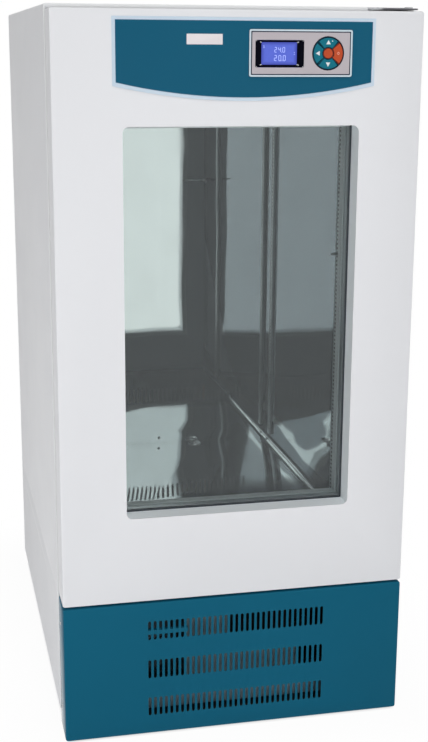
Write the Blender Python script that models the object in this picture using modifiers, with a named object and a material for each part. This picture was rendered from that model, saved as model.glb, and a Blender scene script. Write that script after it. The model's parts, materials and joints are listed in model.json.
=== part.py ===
# Tall laboratory incubator: insulated cabinet, windowed door hinged on the right, machine space
# below behind a slotted cover. Metres, Z up, front towards -Y, depths run back from the door face.
import bpy
import bmesh
import math
from mathutils import Matrix, Vector

# Overall sizes
HEIGHT = 1.646
WIDTH = 0.805
DEPTH = 1.120
SHEET = 0.002
GAP = 0.0003
SHELL_LOW = 0.046
SHELL_R = 0.006
FOOT_X = 0.0625
FOOT_Y = 0.060
FOOT_R = 0.026

# Hinges: pins, bushes with a lip, top plate, tongue of the bottom bracket
PIN_R = 0.005
PIN_LONG = 0.040
BUSH_R = 0.008
BUSH_LONG = 0.040
LIP_R = 0.012
LIP_T = 0.002
PLATE_T = 0.003
HEAD_T = 0.0032
HEAD_R = 0.009
HINGE_IN = 0.019
HINGE_AT = 0.048
HINGE_W = 0.091
HINGE_SIDE = 0.015
HINGE_FRONT = 0.026
HINGE_TAIL = 0.072

# Door and the cover below it; the door's outline lies a little inside the cabinet's
STEP = 0.0025
DOOR_T = 0.082
SEAL_T = 0.008
COVER_LOW = 0.006
COVER_TOP = 0.3325
PANEL_R = 0.006
PANEL_EDGE = 0.004
PAN_T = 0.0018
PLUG_T = 0.0183
PLUG_IN = 0.013
SEAL_W = 0.022
SEAL_IN = 0.016

# Window: margins of the cut-out in the door skin, frame and double glass
WIN_LEFT = 0.1471
WIN_RIGHT = 0.1392
WIN_LOW = 0.1999
WIN_HIGH = 0.2380
WIN_R = 0.014
JAMB = 0.050
FRAME_WALL = 0.008
REBATE = 0.005
GLASS_T = 0.005
SPACER_T = 0.018
SPACER_W = 0.010
BEAD_W = 0.012

# Chamber: thickness of the insulation around it, liner, false back wall
WALL = 0.0675
ROOF = 0.060
SILL = 0.0523
REAR = 0.058
SKIN_T = 0.004
COVE = 0.020
LINER_T = 0.0017
FLANGE = 0.008
MOUTH = 0.0305
DUCT = 0.053
DUCT_T = 0.0012
DUCT_FOLD = 0.031
RETURN_W = 0.006
RETURN_H = 0.044
RETURN_PITCH = 0.0125
RETURN_UP = 0.149
PROBE_IN = 0.040
PROBE_UP = 0.701
PROBE_R = 0.005
PROBE_LONG = 0.090
TRACK_W = 0.022
TRACK_T = 0.008
TRACK_END = 0.026
TRACK_FRONT = 0.245
TRACK_REAR = 0.055
TRACK_PITCH = 0.075
EVAP_UP = 0.401
EVAP_H = 0.360
EVAP_T = 0.040
EVAP_IN = 0.075
HEATER_R = 0.004
HEATER_DROP = 0.200

# Fans and their motors: hub, blades, shaft
FAN_DROP = 0.146
FAN_R = 0.072
FAN_DEEP = 0.020
HUB_R = 0.016
SHAFT_R = 0.004
MOTOR_R = 0.042
COOL_R = 0.090
COOL_DEEP = 0.022
COOL_HUB = 0.018
COOL_MOTOR_R = 0.034
COOL_MOTOR_L = 0.056
BLADE_T = 0.002

# Machine space
RAIL_D = 0.040
RAIL_LOW = 0.0325
RAIL_UP = 0.0156
DECK_UP = 0.0142
PAN_H = 0.032
GRILLE_IN = 0.022
COMP_R = 0.090
COMP_H = 0.200
COMP_SEAM = 0.086
COMP_X = 0.2125
COMP_Y = 0.180
COND_W = 0.310
COND_T = 0.055
COND_X = 0.0725
COND_Y = 0.070
SHROUD_T = 0.0016
FIN = 0.0012
LINE_R = 0.005
HOT_R = 0.004
LINE_X = 0.150
LINE_IN = 0.014
LINE_DROP = 0.0447
LINE_TURN = 0.530
STUB_X = 0.020
STUB_Y = 0.040
HOT_IN = 0.030
DRAIN_X = 0.105
DRAIN_IN = 0.025
DRAIN_R = 0.008
SPOUT_UP = 0.050
TRAY_W = 0.300
TRAY_D = 0.200
TRAY_H = 0.052
EBOX_W = 0.210
EBOX_D = 0.200
EBOX_H = 0.152
GLAND_X = 0.1025
GLAND_Z = 0.120
GLAND_R = 0.010

# Slots in the lower cover; rows are measured down from its top
SLOT_N = 33
SLOT_PITCH = 0.0128
SLOT_W = 0.0072
SLOT_H = 0.0465
SLOT_X = 0.0015
SLOT_ROWS = (0.068, 0.164, 0.258)

# Name plate and control panel, each placed from the one that carries it
PLATE_LEFT = 0.1335
PLATE_RIGHT = 0.1163
PLATE_DROP = 0.023
PLATE_H = 0.125
PLATE_SAG = 0.0306
BORDER = 0.007
BEZEL_IN = 0.0452
BEZEL_DROP = 0.0168
BEZEL_W = 0.2243
BEZEL_H = 0.0964
BODY_IN = 0.0085
BODY_D = 0.040
LENS_W = 0.1050
LENS_H = 0.0556
LENS_IN = 0.0131
LENS_UP = 0.0192
LENS_CLIP = 0.005
LCD_W = 0.0772
LCD_H = 0.0460
LCD_IN = 0.0135
LCD_UP = 0.0053
PAD_IN = 0.0531
PAD_UP = 0.0482
PAD_R = 0.0350
PAD_RIM = 0.0017
OK_R = 0.0112
KEY_SPLIT = 0.0007
KEY_TRAVEL = 0.001
STEM_R = 0.0020
# how far each layer of the panel stands in front of the door face
FILM_OUT = 0.0018
FIELD_OUT = 0.0026
BEZEL_OUT = 0.0054
RIM_OUT = 0.0052
KEY_OUT = 0.0058
LENS_OUT = 0.0060
CUP_OUT = 0.0018
SWITCH_AT = 0.0034
BOARD_AT = 0.0060
BOARD_T = 0.0016

# Worked out from the sizes above
FACE_Y = (LENS_OUT - DEPTH) / 2
HALF = WIDTH / 2 - STEP
CORE = WIDTH / 2 - SHEET - GAP
FRONT_T = DOOR_T + SEAL_T
HINGE_Z = HEIGHT - 0.0002 - HEAD_T - GAP - PLATE_T
DOOR_TOP = HINGE_Z - 0.001 - LIP_T - GAP
TONGUE_Z = COVER_TOP + 0.0004
DOOR_LOW = TONGUE_Z + SHEET + GAP + LIP_T + GAP
HINGE_X = HALF - HINGE_IN
DECK = COVER_TOP + DECK_UP
RAIL_TOP = DECK + RAIL_UP
BACK_AT = DEPTH - SKIN_T
GRILLE_AT = BACK_AT - GRILLE_IN
CH_HALF = WIDTH / 2 - WALL
CH_LOW = DECK + SILL
CH_TOP = HEIGHT - ROOF
CH_BACK = BACK_AT - REAR
DUCT_AT = CH_BACK - DUCT
MOUTH_HALF = WIDTH / 2 - MOUTH
MOUTH_TOP = HEIGHT - MOUTH + 0.0005
PAN_AT = DOOR_T - SHEET
PLUG_AT = PAN_AT + SHEET + PLUG_T
FLOOR = SHELL_LOW + SHEET + GAP
SHROUD_TOP = DECK - SHEET - 0.0197
LINE_Z = DECK - SHEET - LINE_DROP
LINE_AT = CH_BACK - LINE_IN
DRAIN_AT = DUCT_AT - DRAIN_IN
FAN_Z = CH_TOP - FAN_DROP
EVAP_LOW = CH_LOW + EVAP_UP
COMP_CX = -WIDTH / 2 + COMP_X
COMP_AT = FRONT_T + COMP_Y
COMP_LOW = FLOOR + 0.0157
COND_X1 = WIDTH / 2 - COND_X
COND_X0 = COND_X1 - COND_W
COND_AT = FRONT_T + COND_Y
COOL_X = COND_X1 - COND_W / 2
COOL_Z = (FLOOR + SHROUD_TOP) / 2 + 0.01835
SHROUD_AT = COND_AT + COND_T + 0.0005
PROBE_AT = FRONT_T + PROBE_IN
GLAND_CX = -WIDTH / 2 + GLAND_X
WIN = (-HALF + WIN_LEFT, HALF - WIN_RIGHT, DOOR_LOW + WIN_LOW, DOOR_TOP - WIN_HIGH)
PLATE = (-HALF + PLATE_LEFT, HALF - PLATE_RIGHT, DOOR_TOP - PLATE_DROP - PLATE_H, DOOR_TOP - PLATE_DROP)
BEZEL = (PLATE[1] - BEZEL_IN - BEZEL_W, PLATE[1] - BEZEL_IN, PLATE[3] - BEZEL_DROP - BEZEL_H,
         PLATE[3] - BEZEL_DROP)
LENS = (BEZEL[0] + LENS_IN, BEZEL[0] + LENS_IN + LENS_W, BEZEL[2] + LENS_UP, BEZEL[2] + LENS_UP + LENS_H)
LCD = (LENS[0] + LCD_IN, LENS[0] + LCD_IN + LCD_W, LENS[2] + LCD_UP, LENS[2] + LCD_UP + LCD_H)
PAD_X = BEZEL[1] - PAD_IN
PAD_Z = BEZEL[2] + PAD_UP


def y_of(depth):
    """Depth behind the door face, as a Y coordinate."""
    return FACE_Y + depth


for old in list(bpy.data.objects):
    bpy.data.objects.remove(old, do_unlink=True)
parts = bpy.data.collections.new("biochemical_incubator")
cutters = bpy.data.collections.new("cutters")


# Outlines
def rect(x0, x1, z0, z1):
    return [(x0, z0), (x1, z0), (x1, z1), (x0, z1)]


def grown(box4, by):
    return (box4[0] - by, box4[1] + by, box4[2] - by, box4[3] + by)


def rounded(box4, r, n=4, low=True):
    """Rectangle with rounded corners; low=False leaves the two low corners square."""
    x0, x1, z0, z1 = box4
    out = []
    spots = ((x1 - r, z0 + r, -90), (x1 - r, z1 - r, 0), (x0 + r, z1 - r, 90), (x0 + r, z0 + r, 180))
    for i, (cx, cz, a0) in enumerate(spots):
        if i in (0, 3) and not low:
            out.append((x1, z0) if i == 0 else (x0, z0))
            continue
        for k in range(n + 1):
            a = math.radians(a0 + 90 * k / n)
            out.append((cx + r * math.cos(a), cz + r * math.sin(a)))
    return out


def clipped(box4, c):
    """Rectangle with its corners cut off."""
    x0, x1, z0, z1 = box4
    return [(x0 + c, z0), (x1 - c, z0), (x1, z0 + c), (x1, z1 - c), (x1 - c, z1), (x0 + c, z1),
            (x0, z1 - c), (x0, z0 + c)]


def stadium(cx, cz, w, h, n=3):
    """Upright slot with round ends of n steps each."""
    out = []
    for a0, end in ((0, 1), (180, -1)):
        for k in range(n + 1):
            a = math.radians(a0 + 180 * k / n)
            out.append((cx + w / 2 * math.cos(a), cz + end * (h - w) / 2 + w / 2 * math.sin(a)))
    return out


def circle(cx, cz, r, n=24):
    step = 2 * math.pi / n
    return [(cx + r * math.cos(i * step), cz + r * math.sin(i * step)) for i in range(n)]


def sector(cx, cz, r0, r1, a0, a1, n):
    """Part of a ring between two angles given in degrees."""
    arc = [math.radians(a0 + (a1 - a0) * i / n) for i in range(n + 1)]
    outer = [(cx + r1 * math.cos(a), cz + r1 * math.sin(a)) for a in arc]
    inner = [(cx + r0 * math.cos(a), cz + r0 * math.sin(a)) for a in reversed(arc)]
    return outer + inner


def comb(x0, x1, back, front, spine, pitch):
    """Outline of a row of fins standing on a spine, seen from above."""
    out = [(x0, back), (x1, back)]
    n = int(round((x1 - x0 - FIN) / pitch))
    for i in range(n, -1, -1):
        left = x0 + i * (x1 - x0 - FIN) / n
        out += [(left + FIN, back - spine), (left + FIN, front), (left, front), (left, back - spine)]
    return [p for k, p in enumerate(out) if p != out[k - 1]]


# Solids
def place(u, v, w, axis):
    if axis == "X":
        return (w, u, v)
    if axis == "Y":
        return (u, w, v)
    return (u, v, w)


def outward(bm):
    """Turns the faces of one closed shape outwards."""
    bmesh.ops.recalc_face_normals(bm, faces=bm.faces)
    if bm.calc_volume(signed=True) < 0:
        bmesh.ops.reverse_faces(bm, faces=bm.faces)
    return bm


def welded(curve):
    """The solid that a filled curve makes, as a closed mesh."""
    holder = bpy.data.objects.new("outline", curve)
    mesh = bpy.data.meshes.new_from_object(holder)
    bm = bmesh.new()
    bm.from_mesh(mesh)
    bmesh.ops.remove_doubles(bm, verts=bm.verts, dist=1e-6)
    bpy.data.meshes.remove(mesh)
    bpy.data.objects.remove(holder)
    bpy.data.curves.remove(curve)
    return bm


def prism(loops, w0, w1, axis="Y"):
    """Flat outline made thick from w0 to w1 along axis; loops after the first are holes in it."""
    if len(loops) == 1:
        return slab(loops[0], w0, w1, axis)
    curve = bpy.data.curves.new("outline", "CURVE")
    curve.dimensions = "2D"
    curve.fill_mode = "BOTH"
    curve.extrude = (w1 - w0) / 2
    for loop in loops:
        spline = curve.splines.new("POLY")
        spline.points.add(len(loop) - 1)
        for point, (u, v) in zip(spline.points, loop):
            point.co = (u, v, 0, 1)
        spline.use_cyclic_u = True
    bm = welded(curve)
    for v in bm.verts:
        v.co = place(v.co.x, v.co.y, w1 if v.co.z > 0 else w0, axis)
    return outward(bm)


def slab(loop, w0, w1, axis):
    """Outline without holes: two faces bridged along their edges."""
    bm = bmesh.new()
    edges = []
    for w in (w0, w1):
        face = bm.faces.new([bm.verts.new(place(u, v, w, axis)) for u, v in loop])
        edges += face.edges
    bmesh.ops.bridge_loops(bm, edges=edges)
    return outward(bm)


def box(x0, x1, y0, y1, z0, z1):
    bm = bmesh.new()
    middle = Matrix.Translation(((x0 + x1) / 2, (y0 + y1) / 2, (z0 + z1) / 2))
    bmesh.ops.create_cube(bm, size=1, matrix=middle @ Matrix.Diagonal((x1 - x0, y1 - y0, z1 - z0, 1)))
    return bm


def lathe(profile, centre, axis="Z", n=24):
    """Turned solid; the profile is a closed loop of (radius, position along the axis)."""
    bm = bmesh.new()
    verts = [bm.verts.new((r, 0, h)) for r, h in profile]
    edges = []
    for a, b in zip(verts, verts[1:] + verts[:1]):
        if a.co.x > 1e-9 or b.co.x > 1e-9:
            edges.append(bm.edges.new((a, b)))
    bmesh.ops.spin(bm, geom=verts + edges, cent=(0, 0, 0), axis=(0, 0, 1), angle=2 * math.pi, steps=n,
                   use_merge=True)
    bmesh.ops.remove_doubles(bm, verts=bm.verts, dist=1e-6)
    for v in bm.verts:
        v.co = place(v.co.x + centre[0], v.co.y + centre[1], v.co.z, axis)
    return outward(bm)


def tube(path, radius):
    """Round bar with closed ends along a path."""
    curve = bpy.data.curves.new("bar", "CURVE")
    curve.dimensions = "3D"
    curve.bevel_depth = radius
    curve.bevel_resolution = 2
    curve.use_fill_caps = True
    spline = curve.splines.new("POLY")
    spline.points.add(len(path) - 1)
    for point, p in zip(spline.points, path):
        point.co = (p[0], p[1], p[2], 1)
    return outward(welded(curve))


def bend(corners, r, n=4):
    """Path through the corners with each turn rounded to radius r."""
    pts = [Vector(c) for c in corners]
    out = [pts[0]]
    for a, b, c in zip(pts, pts[1:], pts[2:]):
        into = (b - a).normalized()
        away = (c - b).normalized()
        cut = r * math.tan(into.angle(away) / 2)
        start = b - into * cut
        end = b + away * cut
        for k in range(n + 1):
            t = k / n
            out.append(start * (1 - t) ** 2 + b * 2 * t * (1 - t) + end * t ** 2)
    return out + [pts[-1]]


def many(shapes):
    """Puts several shapes into one mesh, for a cutter or for blades joined to a hub."""
    whole = bmesh.new()
    for bm in shapes:
        mesh = bpy.data.meshes.new("tmp")
        bm.to_mesh(mesh)
        bm.free()
        whole.from_mesh(mesh)
        bpy.data.meshes.remove(mesh)
    return whole


def bevel_front(bm, y, width, segments=2):
    """Rounds the outer edges of the face at depth y."""
    edges = []
    for e in bm.edges:
        if all(abs(v.co.y - y) < 1e-6 for v in e.verts) and abs(e.calc_face_angle(0)) > 1.0:
            edges.append(e)
    bmesh.ops.bevel(bm, geom=edges, offset=width, segments=segments, affect="EDGES", profile=0.5)
    return bm


def finish(name, bm, colour, rough=0.4, metal=0.0, smooth=False):
    """Makes the object of one piece, with its own material."""
    mesh = bpy.data.meshes.new(name)
    bm.to_mesh(mesh)
    bm.free()
    obj = bpy.data.objects.new(name, mesh)
    parts.objects.link(obj)
    mat = bpy.data.materials.new(name)
    mat.use_nodes = True
    shader = mat.node_tree.nodes["Principled BSDF"]
    shader.inputs["Base Color"].default_value = (*colour, 1)
    shader.inputs["Roughness"].default_value = rough
    shader.inputs["Metallic"].default_value = metal
    mesh.materials.append(mat)
    if smooth:
        mesh.shade_smooth()
        mesh.set_sharp_from_angle(angle=math.radians(40))
    return obj


def combine(obj, bm, how="DIFFERENCE"):
    """Cuts the shape out of obj, or joins it to obj."""
    mesh = bpy.data.meshes.new(obj.name + "_tool")
    bm.to_mesh(mesh)
    bm.free()
    tool = bpy.data.objects.new(obj.name + "_tool", mesh)
    cutters.objects.link(tool)
    tool.hide_render = True
    tool.display_type = "WIRE"
    mod = obj.modifiers.new("shape", "BOOLEAN")
    mod.operation = how
    mod.solver = "EXACT"
    mod.object = tool
    return obj


def tray(name, x0, x1, depth0, depth1, z0, z1, wall, colour, metal):
    """Open-topped sheet tray: a box without its lid, thickened inwards."""
    bm = box(x0, x1, y_of(depth0), y_of(depth1), z0, z1)
    lid = [f for f in bm.faces if all(abs(v.co.z - z1) < 1e-6 for v in f.verts)]
    bmesh.ops.delete(bm, geom=lid, context="FACES_ONLY")
    obj = finish(name, bm, colour, 0.4, metal)
    mod = obj.modifiers.new("wall", "SOLIDIFY")
    mod.thickness = wall
    mod.offset = -1
    mod.use_even_offset = True
    return obj


def pivot(obj, x, y, z):
    """Moves the origin of obj to its joint, leaving the shape where it is."""
    obj.data.transform(Matrix.Translation((-x, -y, -z)))
    obj.location = (x, y, z)


white = (0.80, 0.80, 0.82)
teal = (0.010, 0.105, 0.165)
steel = (0.62, 0.63, 0.64)
zinc = (0.50, 0.51, 0.52)
black = (0.02, 0.02, 0.022)
foam = (0.78, 0.72, 0.50)
copper = (0.60, 0.28, 0.16)
frost = (0.72, 0.78, 0.84)


# Cabinet
def cabinet_shell():
    half = WIDTH / 2
    front = y_of(FRONT_T)
    back = y_of(DEPTH)
    outline = rounded((-half, half, SHELL_LOW, HEIGHT), SHELL_R, 3, low=False)
    obj = finish("cabinet_shell", bevel_front(prism([outline], front, back), front, 0.0025), white)
    inner = (-half + SHEET, half - SHEET, SHELL_LOW - 0.01, HEIGHT - SHEET)
    combine(obj, prism([rounded(inner, SHELL_R - SHEET, 3, low=False)], front + SHEET, back + 0.01))
    combine(obj, box(-MOUTH_HALF, MOUTH_HALF, front - 0.01, front + SHEET * 2, SHELL_LOW - 0.01, MOUTH_TOP))
    # folded seam along each side, level with the bottom of the door
    z = DOOR_LOW - 0.006
    seams = []
    for s in (-1, 1):
        wedge = [(s * (half + 0.001), z - 0.005), (s * (half - 0.001), z), (s * (half + 0.001), z + 0.005)]
        seams.append(prism([wedge], front + 0.02, back - 0.02))
    combine(obj, many(seams))
    combine(obj, hinge_slot(0.0005))
    return obj


def hinge_outline():
    """Left, right, front and rear of the top hinge plate."""
    right = HINGE_X + HINGE_SIDE
    return (right - HINGE_W, right, y_of(HINGE_AT - HINGE_FRONT), y_of(FRONT_T + HINGE_TAIL))


def hinge_slot(by):
    """Opening that lets the top hinge plate into the cabinet."""
    x0, x1, y0, y1 = hinge_outline()
    return box(x0 - by, x1 + by, y_of(DOOR_T), y1 + by * 3, HINGE_Z - by, HINGE_Z + PLATE_T + by)


def insulation():
    front = y_of(FRONT_T + SHEET + GAP)
    back = y_of(BACK_AT - GAP)
    outline = rounded((-CORE, CORE, DECK + GAP, HEIGHT - SHEET - GAP), SHELL_R - 0.0015, 3, low=False)
    obj = finish("cabinet_insulation", prism([outline], front, back), foam, 0.9)
    room = grown((-CH_HALF, CH_HALF, CH_LOW, CH_TOP), LINER_T + GAP)
    combine(obj, prism([rounded(room, COVE + LINER_T, 4)], front - 0.01, y_of(CH_BACK + LINER_T + GAP)))
    combine(obj, box(-CORE - 0.01, CORE + 0.01, front - 0.01, y_of(FRONT_T + RAIL_D + 0.0005), DECK - 0.01,
                     RAIL_TOP + GAP))
    combine(obj, prism([circle(0, FAN_Z, MOTOR_R + 0.005)], y_of(CH_BACK), back + 0.01))
    wells = []
    for x, depth, r in ((DRAIN_X, DRAIN_AT, DRAIN_R + 0.003), (LINE_X, LINE_AT, LINE_R + 0.004)):
        wells.append(prism([circle(x, y_of(depth), r, 16)], DECK - 0.01, CH_LOW + 0.001, "Z"))
    combine(obj, many(wells))
    x0, x1, y0, y1 = hinge_outline()
    combine(obj, box(x0 - 0.005, CORE + 0.01, front - 0.01, y1 + 0.005, HINGE_Z - 0.0033, HEIGHT))
    return obj


def liner():
    front = y_of(FRONT_T)
    room = (-CH_HALF, CH_HALF, CH_LOW, CH_TOP)
    flange = rect(*grown(room, FLANGE - GAP))
    obj = finish("chamber_liner", prism([flange], front, front + LINER_T), steel, 0.12, 1.0)
    outside = [rounded(grown(room, LINER_T), COVE + LINER_T, 4)]
    combine(obj, prism(outside, front + LINER_T / 3, y_of(CH_BACK + LINER_T)), "UNION")
    combine(obj, prism([rounded(room, COVE, 4)], front - 0.01, y_of(CH_BACK)))
    holes = [prism([circle(0, FAN_Z, SHAFT_R + 0.003, 16)], y_of(CH_BACK - 0.01), y_of(CH_BACK + 0.01))]
    for x, depth, r in ((DRAIN_X, DRAIN_AT, DRAIN_R + 0.0005), (LINE_X, LINE_AT, LINE_R + 0.001)):
        holes.append(prism([circle(x, y_of(depth), r, 16)], CH_LOW - 0.01, CH_LOW + 0.01, "Z"))
    combine(obj, many(holes))
    return obj


def opening_trim():
    out = (-MOUTH_HALF + GAP, MOUTH_HALF - GAP, RAIL_TOP + GAP, MOUTH_TOP - GAP)
    hole = grown((-CH_HALF, CH_HALF, CH_LOW, CH_TOP), FLANGE)
    return finish("opening_trim", prism([rect(*out), rect(*hole)], y_of(FRONT_T), y_of(FRONT_T) + SHEET),
                  (0.70, 0.71, 0.72))


def cross_rail():
    """Channel below the chamber that carries the bottom hinge bracket."""
    y0 = y_of(FRONT_T)
    y1 = y_of(FRONT_T + RAIL_D)
    z0 = COVER_TOP - RAIL_LOW
    z1 = RAIL_TOP
    section = [(y0, z0), (y1, z0), (y1, z0 + SHEET), (y0 + SHEET, z0 + SHEET), (y0 + SHEET, z1 - SHEET),
               (y1, z1 - SHEET), (y1, z1), (y0, z1)]
    return finish("cross_rail", prism([section], -MOUTH_HALF + GAP, MOUTH_HALF - GAP, "X"), white)


def bulkhead():
    loops = [rect(-CORE, CORE, y_of(FRONT_T + RAIL_D + 0.0008), y_of(BACK_AT - GAP))]
    loops.append(circle(DRAIN_X, y_of(DRAIN_AT), DRAIN_R + 0.003, 16))
    loops.append(circle(LINE_X, y_of(LINE_AT), LINE_R + 0.004, 16))
    return finish("machine_bulkhead", prism(loops, DECK - SHEET, DECK, "Z"), zinc, 0.4, 0.9)


def base_pan():
    """Sheet pan on the feet, with a lip turned down at the front."""
    front = FRONT_T + SHEET + 0.0004
    obj = tray("base_pan", -CORE, CORE, front, BACK_AT - GAP, SHELL_LOW, SHELL_LOW + PAN_H, SHEET, zinc, 0.9)
    lip = box(-CORE + 0.040, CORE - 0.040, y_of(front), y_of(front) + SHEET, 0.020, SHELL_LOW + SHEET / 2)
    combine(obj, lip, "UNION")
    return obj


def feet():
    top = SHELL_LOW - GAP
    r = FOOT_R
    profile = [(0, 0), (r - 0.002, 0), (r, 0.003), (r, 0.010), (r - 0.009, 0.016), (r - 0.009, top), (0, top)]
    for side, s in (("left", -1), ("right", 1)):
        for end, depth in (("front", FRONT_T + FOOT_Y), ("rear", DEPTH - FOOT_Y)):
            spot = (s * (WIDTH / 2 - FOOT_X), y_of(depth))
            finish("foot_%s_%s" % (end, side), lathe(profile, spot, "Z", 16), black, 0.6, 0, True)


def back_panel():
    outline = rounded((-CORE, CORE, DECK - SHEET, HEIGHT - SHEET - GAP), SHELL_R - 0.0015, 3, low=False)
    return finish("back_panel", prism([outline], y_of(BACK_AT), y_of(BACK_AT) + SHEET), white, 0.5)


def rear_grille():
    half = CORE - SHEET - GAP
    y0 = y_of(GRILLE_AT)
    obj = finish("rear_grille", box(-half, half, y0, y0 + SHEET, FLOOR, DECK - SHEET - GAP), white, 0.5)
    holes = [circle(GLAND_CX, GLAND_Z, GLAND_R + 2 * GAP, 16)]
    for row in range(2):
        for i in range(12):
            holes.append(stadium(GLAND_CX + 0.15 + i * 0.042, 0.150 + row * 0.095, 0.012, 0.070, 2))
    combine(obj, many([prism([hole], y0 - 0.01, y0 + 0.01) for hole in holes]))
    return obj


def cable_gland():
    """Inlet for the mains cord, which the photograph doesn't show."""
    y0 = y_of(GRILLE_AT)
    y1 = y0 + SHEET + GAP
    r = GLAND_R
    bore = r * 0.45
    profile = [(bore, y0 - 0.014), (r, y0 - 0.014), (r, y1), (r + 0.0045, y1), (r + 0.0045, y1 + 0.008),
               (r - 0.0005, y1 + 0.018), (bore, y1 + 0.018)]
    return finish("cable_gland", lathe(profile, (GLAND_CX, GLAND_Z), "Y", 16), black, 0.5, 0, True)


# Inside the chamber
def duct_panel():
    """False back wall: return slots low down, fan guard high up."""
    y0 = y_of(DUCT_AT)
    outline = rounded(grown((-CH_HALF, CH_HALF, CH_LOW, CH_TOP), -GAP), COVE, 4)
    obj = finish("duct_panel", prism([outline], y0, y0 + DUCT_T), steel, 0.12, 1.0)
    holes = []
    for i in range(41):
        holes.append(stadium((i - 20) * RETURN_PITCH, CH_LOW + RETURN_UP, RETURN_W, RETURN_H, 2))
    for r0, r1 in ((0.022, 0.038), (0.044, 0.060), (0.066, 0.082)):
        for k in range(4):
            holes.append(sector(0, FAN_Z, r0, r1, 90 * k + 6, 90 * k + 84, 4))
    combine(obj, many([prism([hole], y0 - 0.01, y0 + 0.01) for hole in holes]))
    folds = []
    for s in (-1, 1):
        x0, x1 = sorted((s * (CH_HALF - GAP), s * (CH_HALF - GAP - DUCT_T)))
        back = y_of(CH_BACK) - 0.004
        folds.append(box(x0, x1, y0 + DUCT_T / 2, back, CH_LOW + DUCT_FOLD, CH_TOP - DUCT_FOLD))
    combine(obj, many(folds), "UNION")
    return obj


def shelf_standards():
    """Perforated channels for shelf clips, two on each side wall."""
    z0 = CH_LOW + TRACK_END
    z1 = CH_TOP - TRACK_END
    wall = CH_HALF - GAP
    face = CH_HALF - TRACK_T
    for side, s in (("left", -1), ("right", 1)):
        for end, depth in (("front", FRONT_T + TRACK_FRONT), ("rear", DUCT_AT - TRACK_REAR)):
            y0 = y_of(depth) - TRACK_W / 2
            y1 = y_of(depth) + TRACK_W / 2
            x0, x1 = sorted((s * face, s * wall))
            obj = finish("shelf_standard_%s_%s" % (end, side), box(x0, x1, y0, y1, z0, z1), steel, 0.2, 1.0)
            x0, x1 = sorted((s * (face + DUCT_T), s * (wall + 0.001)))
            combine(obj, box(x0, x1, y0 + DUCT_T, y1 - DUCT_T, z0 - 0.001, z1 + 0.001))
            x0, x1 = sorted((s * (face - 0.001), s * (face + 0.004)))
            holes = []
            for i in range(int((z1 - z0 - 0.040) / TRACK_PITCH)):
                zc = z0 + 0.0425 + i * TRACK_PITCH
                holes.append(box(x0, x1, y_of(depth) - 0.003, y_of(depth) + 0.003, zc - 0.006, zc + 0.006))
            combine(obj, many(holes))


def evaporator():
    """Finned block on the chamber's back wall, behind the false wall."""
    half = CH_HALF - EVAP_IN
    back = y_of(CH_BACK - GAP)
    outline = comb(-half, half, back, back - EVAP_T, 0.014, 0.020)
    bm = prism([outline], EVAP_LOW, EVAP_LOW + EVAP_H, "Z")
    return finish("evaporator", bm, (0.70, 0.71, 0.72), 0.35, 0.9)


def heater():
    """Looped element against the rear of the false wall, under the evaporator."""
    y = y_of(DUCT_AT + DUCT_T + GAP + HEATER_R)
    half = CH_HALF - EVAP_IN - 0.020
    low = EVAP_LOW - HEATER_DROP
    corners = []
    for i in range(3):
        row = [(-half, y, low + 0.040 * i), (half, y, low + 0.040 * i)]
        corners += row[::-1] if i == 1 else row
    corners.append((half, y, EVAP_LOW - 0.055))
    return finish("heater", tube(bend(corners, 0.016), HEATER_R), (0.25, 0.24, 0.23), 0.4, 0.9, True)


def circulation_fan():
    y0 = y_of(CH_BACK + LINER_T + GAP)
    y1 = y_of(BACK_AT - 0.002)
    tip = y_of(DUCT_AT + 0.009)
    r = MOTOR_R
    profile = [(0, tip), (SHAFT_R, tip), (SHAFT_R, y0), (r, y0), (r, y1 - 0.004), (r - 0.006, y1), (0, y1)]
    finish("circulation_motor", lathe(profile, (0, FAN_Z), "Y", 24), (0.10, 0.10, 0.11), 0.5, 0.3, True)
    fan("circulation_fan", 0, FAN_Z, tip + 0.004, FAN_DEEP, HUB_R, FAN_R)


def fan(name, x, z, y0, deep, hub, tip):
    """Five twisted blades on a hub with a bore for the motor shaft."""
    bore = SHAFT_R + GAP
    profile = [(bore, y0), (hub, y0), (hub, y0 + deep), (bore, y0 + deep)]
    obj = finish(name, lathe(profile, (x, z), "Y", 20), black, 0.5)
    blades = []
    for k in range(5):
        bm = bmesh.new()
        rings = []
        spans = ((hub * 0.85, 42, tip * 0.26), (tip * 0.6, 32, tip * 0.5), (tip, 24, tip * 0.6))
        for r, pitch, chord in spans:
            ring = []
            a = math.radians(pitch)
            for across, thick in ((-0.5, -0.5), (0.5, -0.5), (0.5, 0.5), (-0.5, 0.5)):
                along = across * chord * math.cos(a) - thick * BLADE_T * math.sin(a)
                depth = (across * chord * math.sin(a) + thick * BLADE_T * math.cos(a)) * deep / 0.040
                turn = 2 * math.pi * k / 5 + along / r
                ring.append(bm.verts.new((x + r * math.cos(turn), y0 + deep / 2 + depth,
                                          z + r * math.sin(turn))))
            rings.append(ring)
        for a, b in zip(rings, rings[1:]):
            for i in range(4):
                j = (i + 1) % 4
                bm.faces.new([a[i], a[j], b[j], b[i]])
        bm.faces.new(rings[0])
        bm.faces.new(list(reversed(rings[-1])))
        blades.append(outward(bm))
    combine(obj, many(blades), "UNION")
    pivot(obj, x, y0 + deep / 2, z)
    return obj


def probe():
    """Thin sensor on the right wall."""
    wall = CH_HALF - GAP
    r = PROBE_R
    thin = r - 0.002
    end = wall - PROBE_LONG
    profile = [(0, wall), (r * 2, wall), (r * 2, wall - 0.004), (r, wall - 0.006), (r, wall - 0.022),
               (thin, wall - 0.026), (thin, end + 0.002), (0, end)]
    spot = (y_of(PROBE_AT), CH_LOW + PROBE_UP)
    return finish("temperature_probe", lathe(profile, spot, "X", 16), steel, 0.2, 1.0, True)


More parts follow.
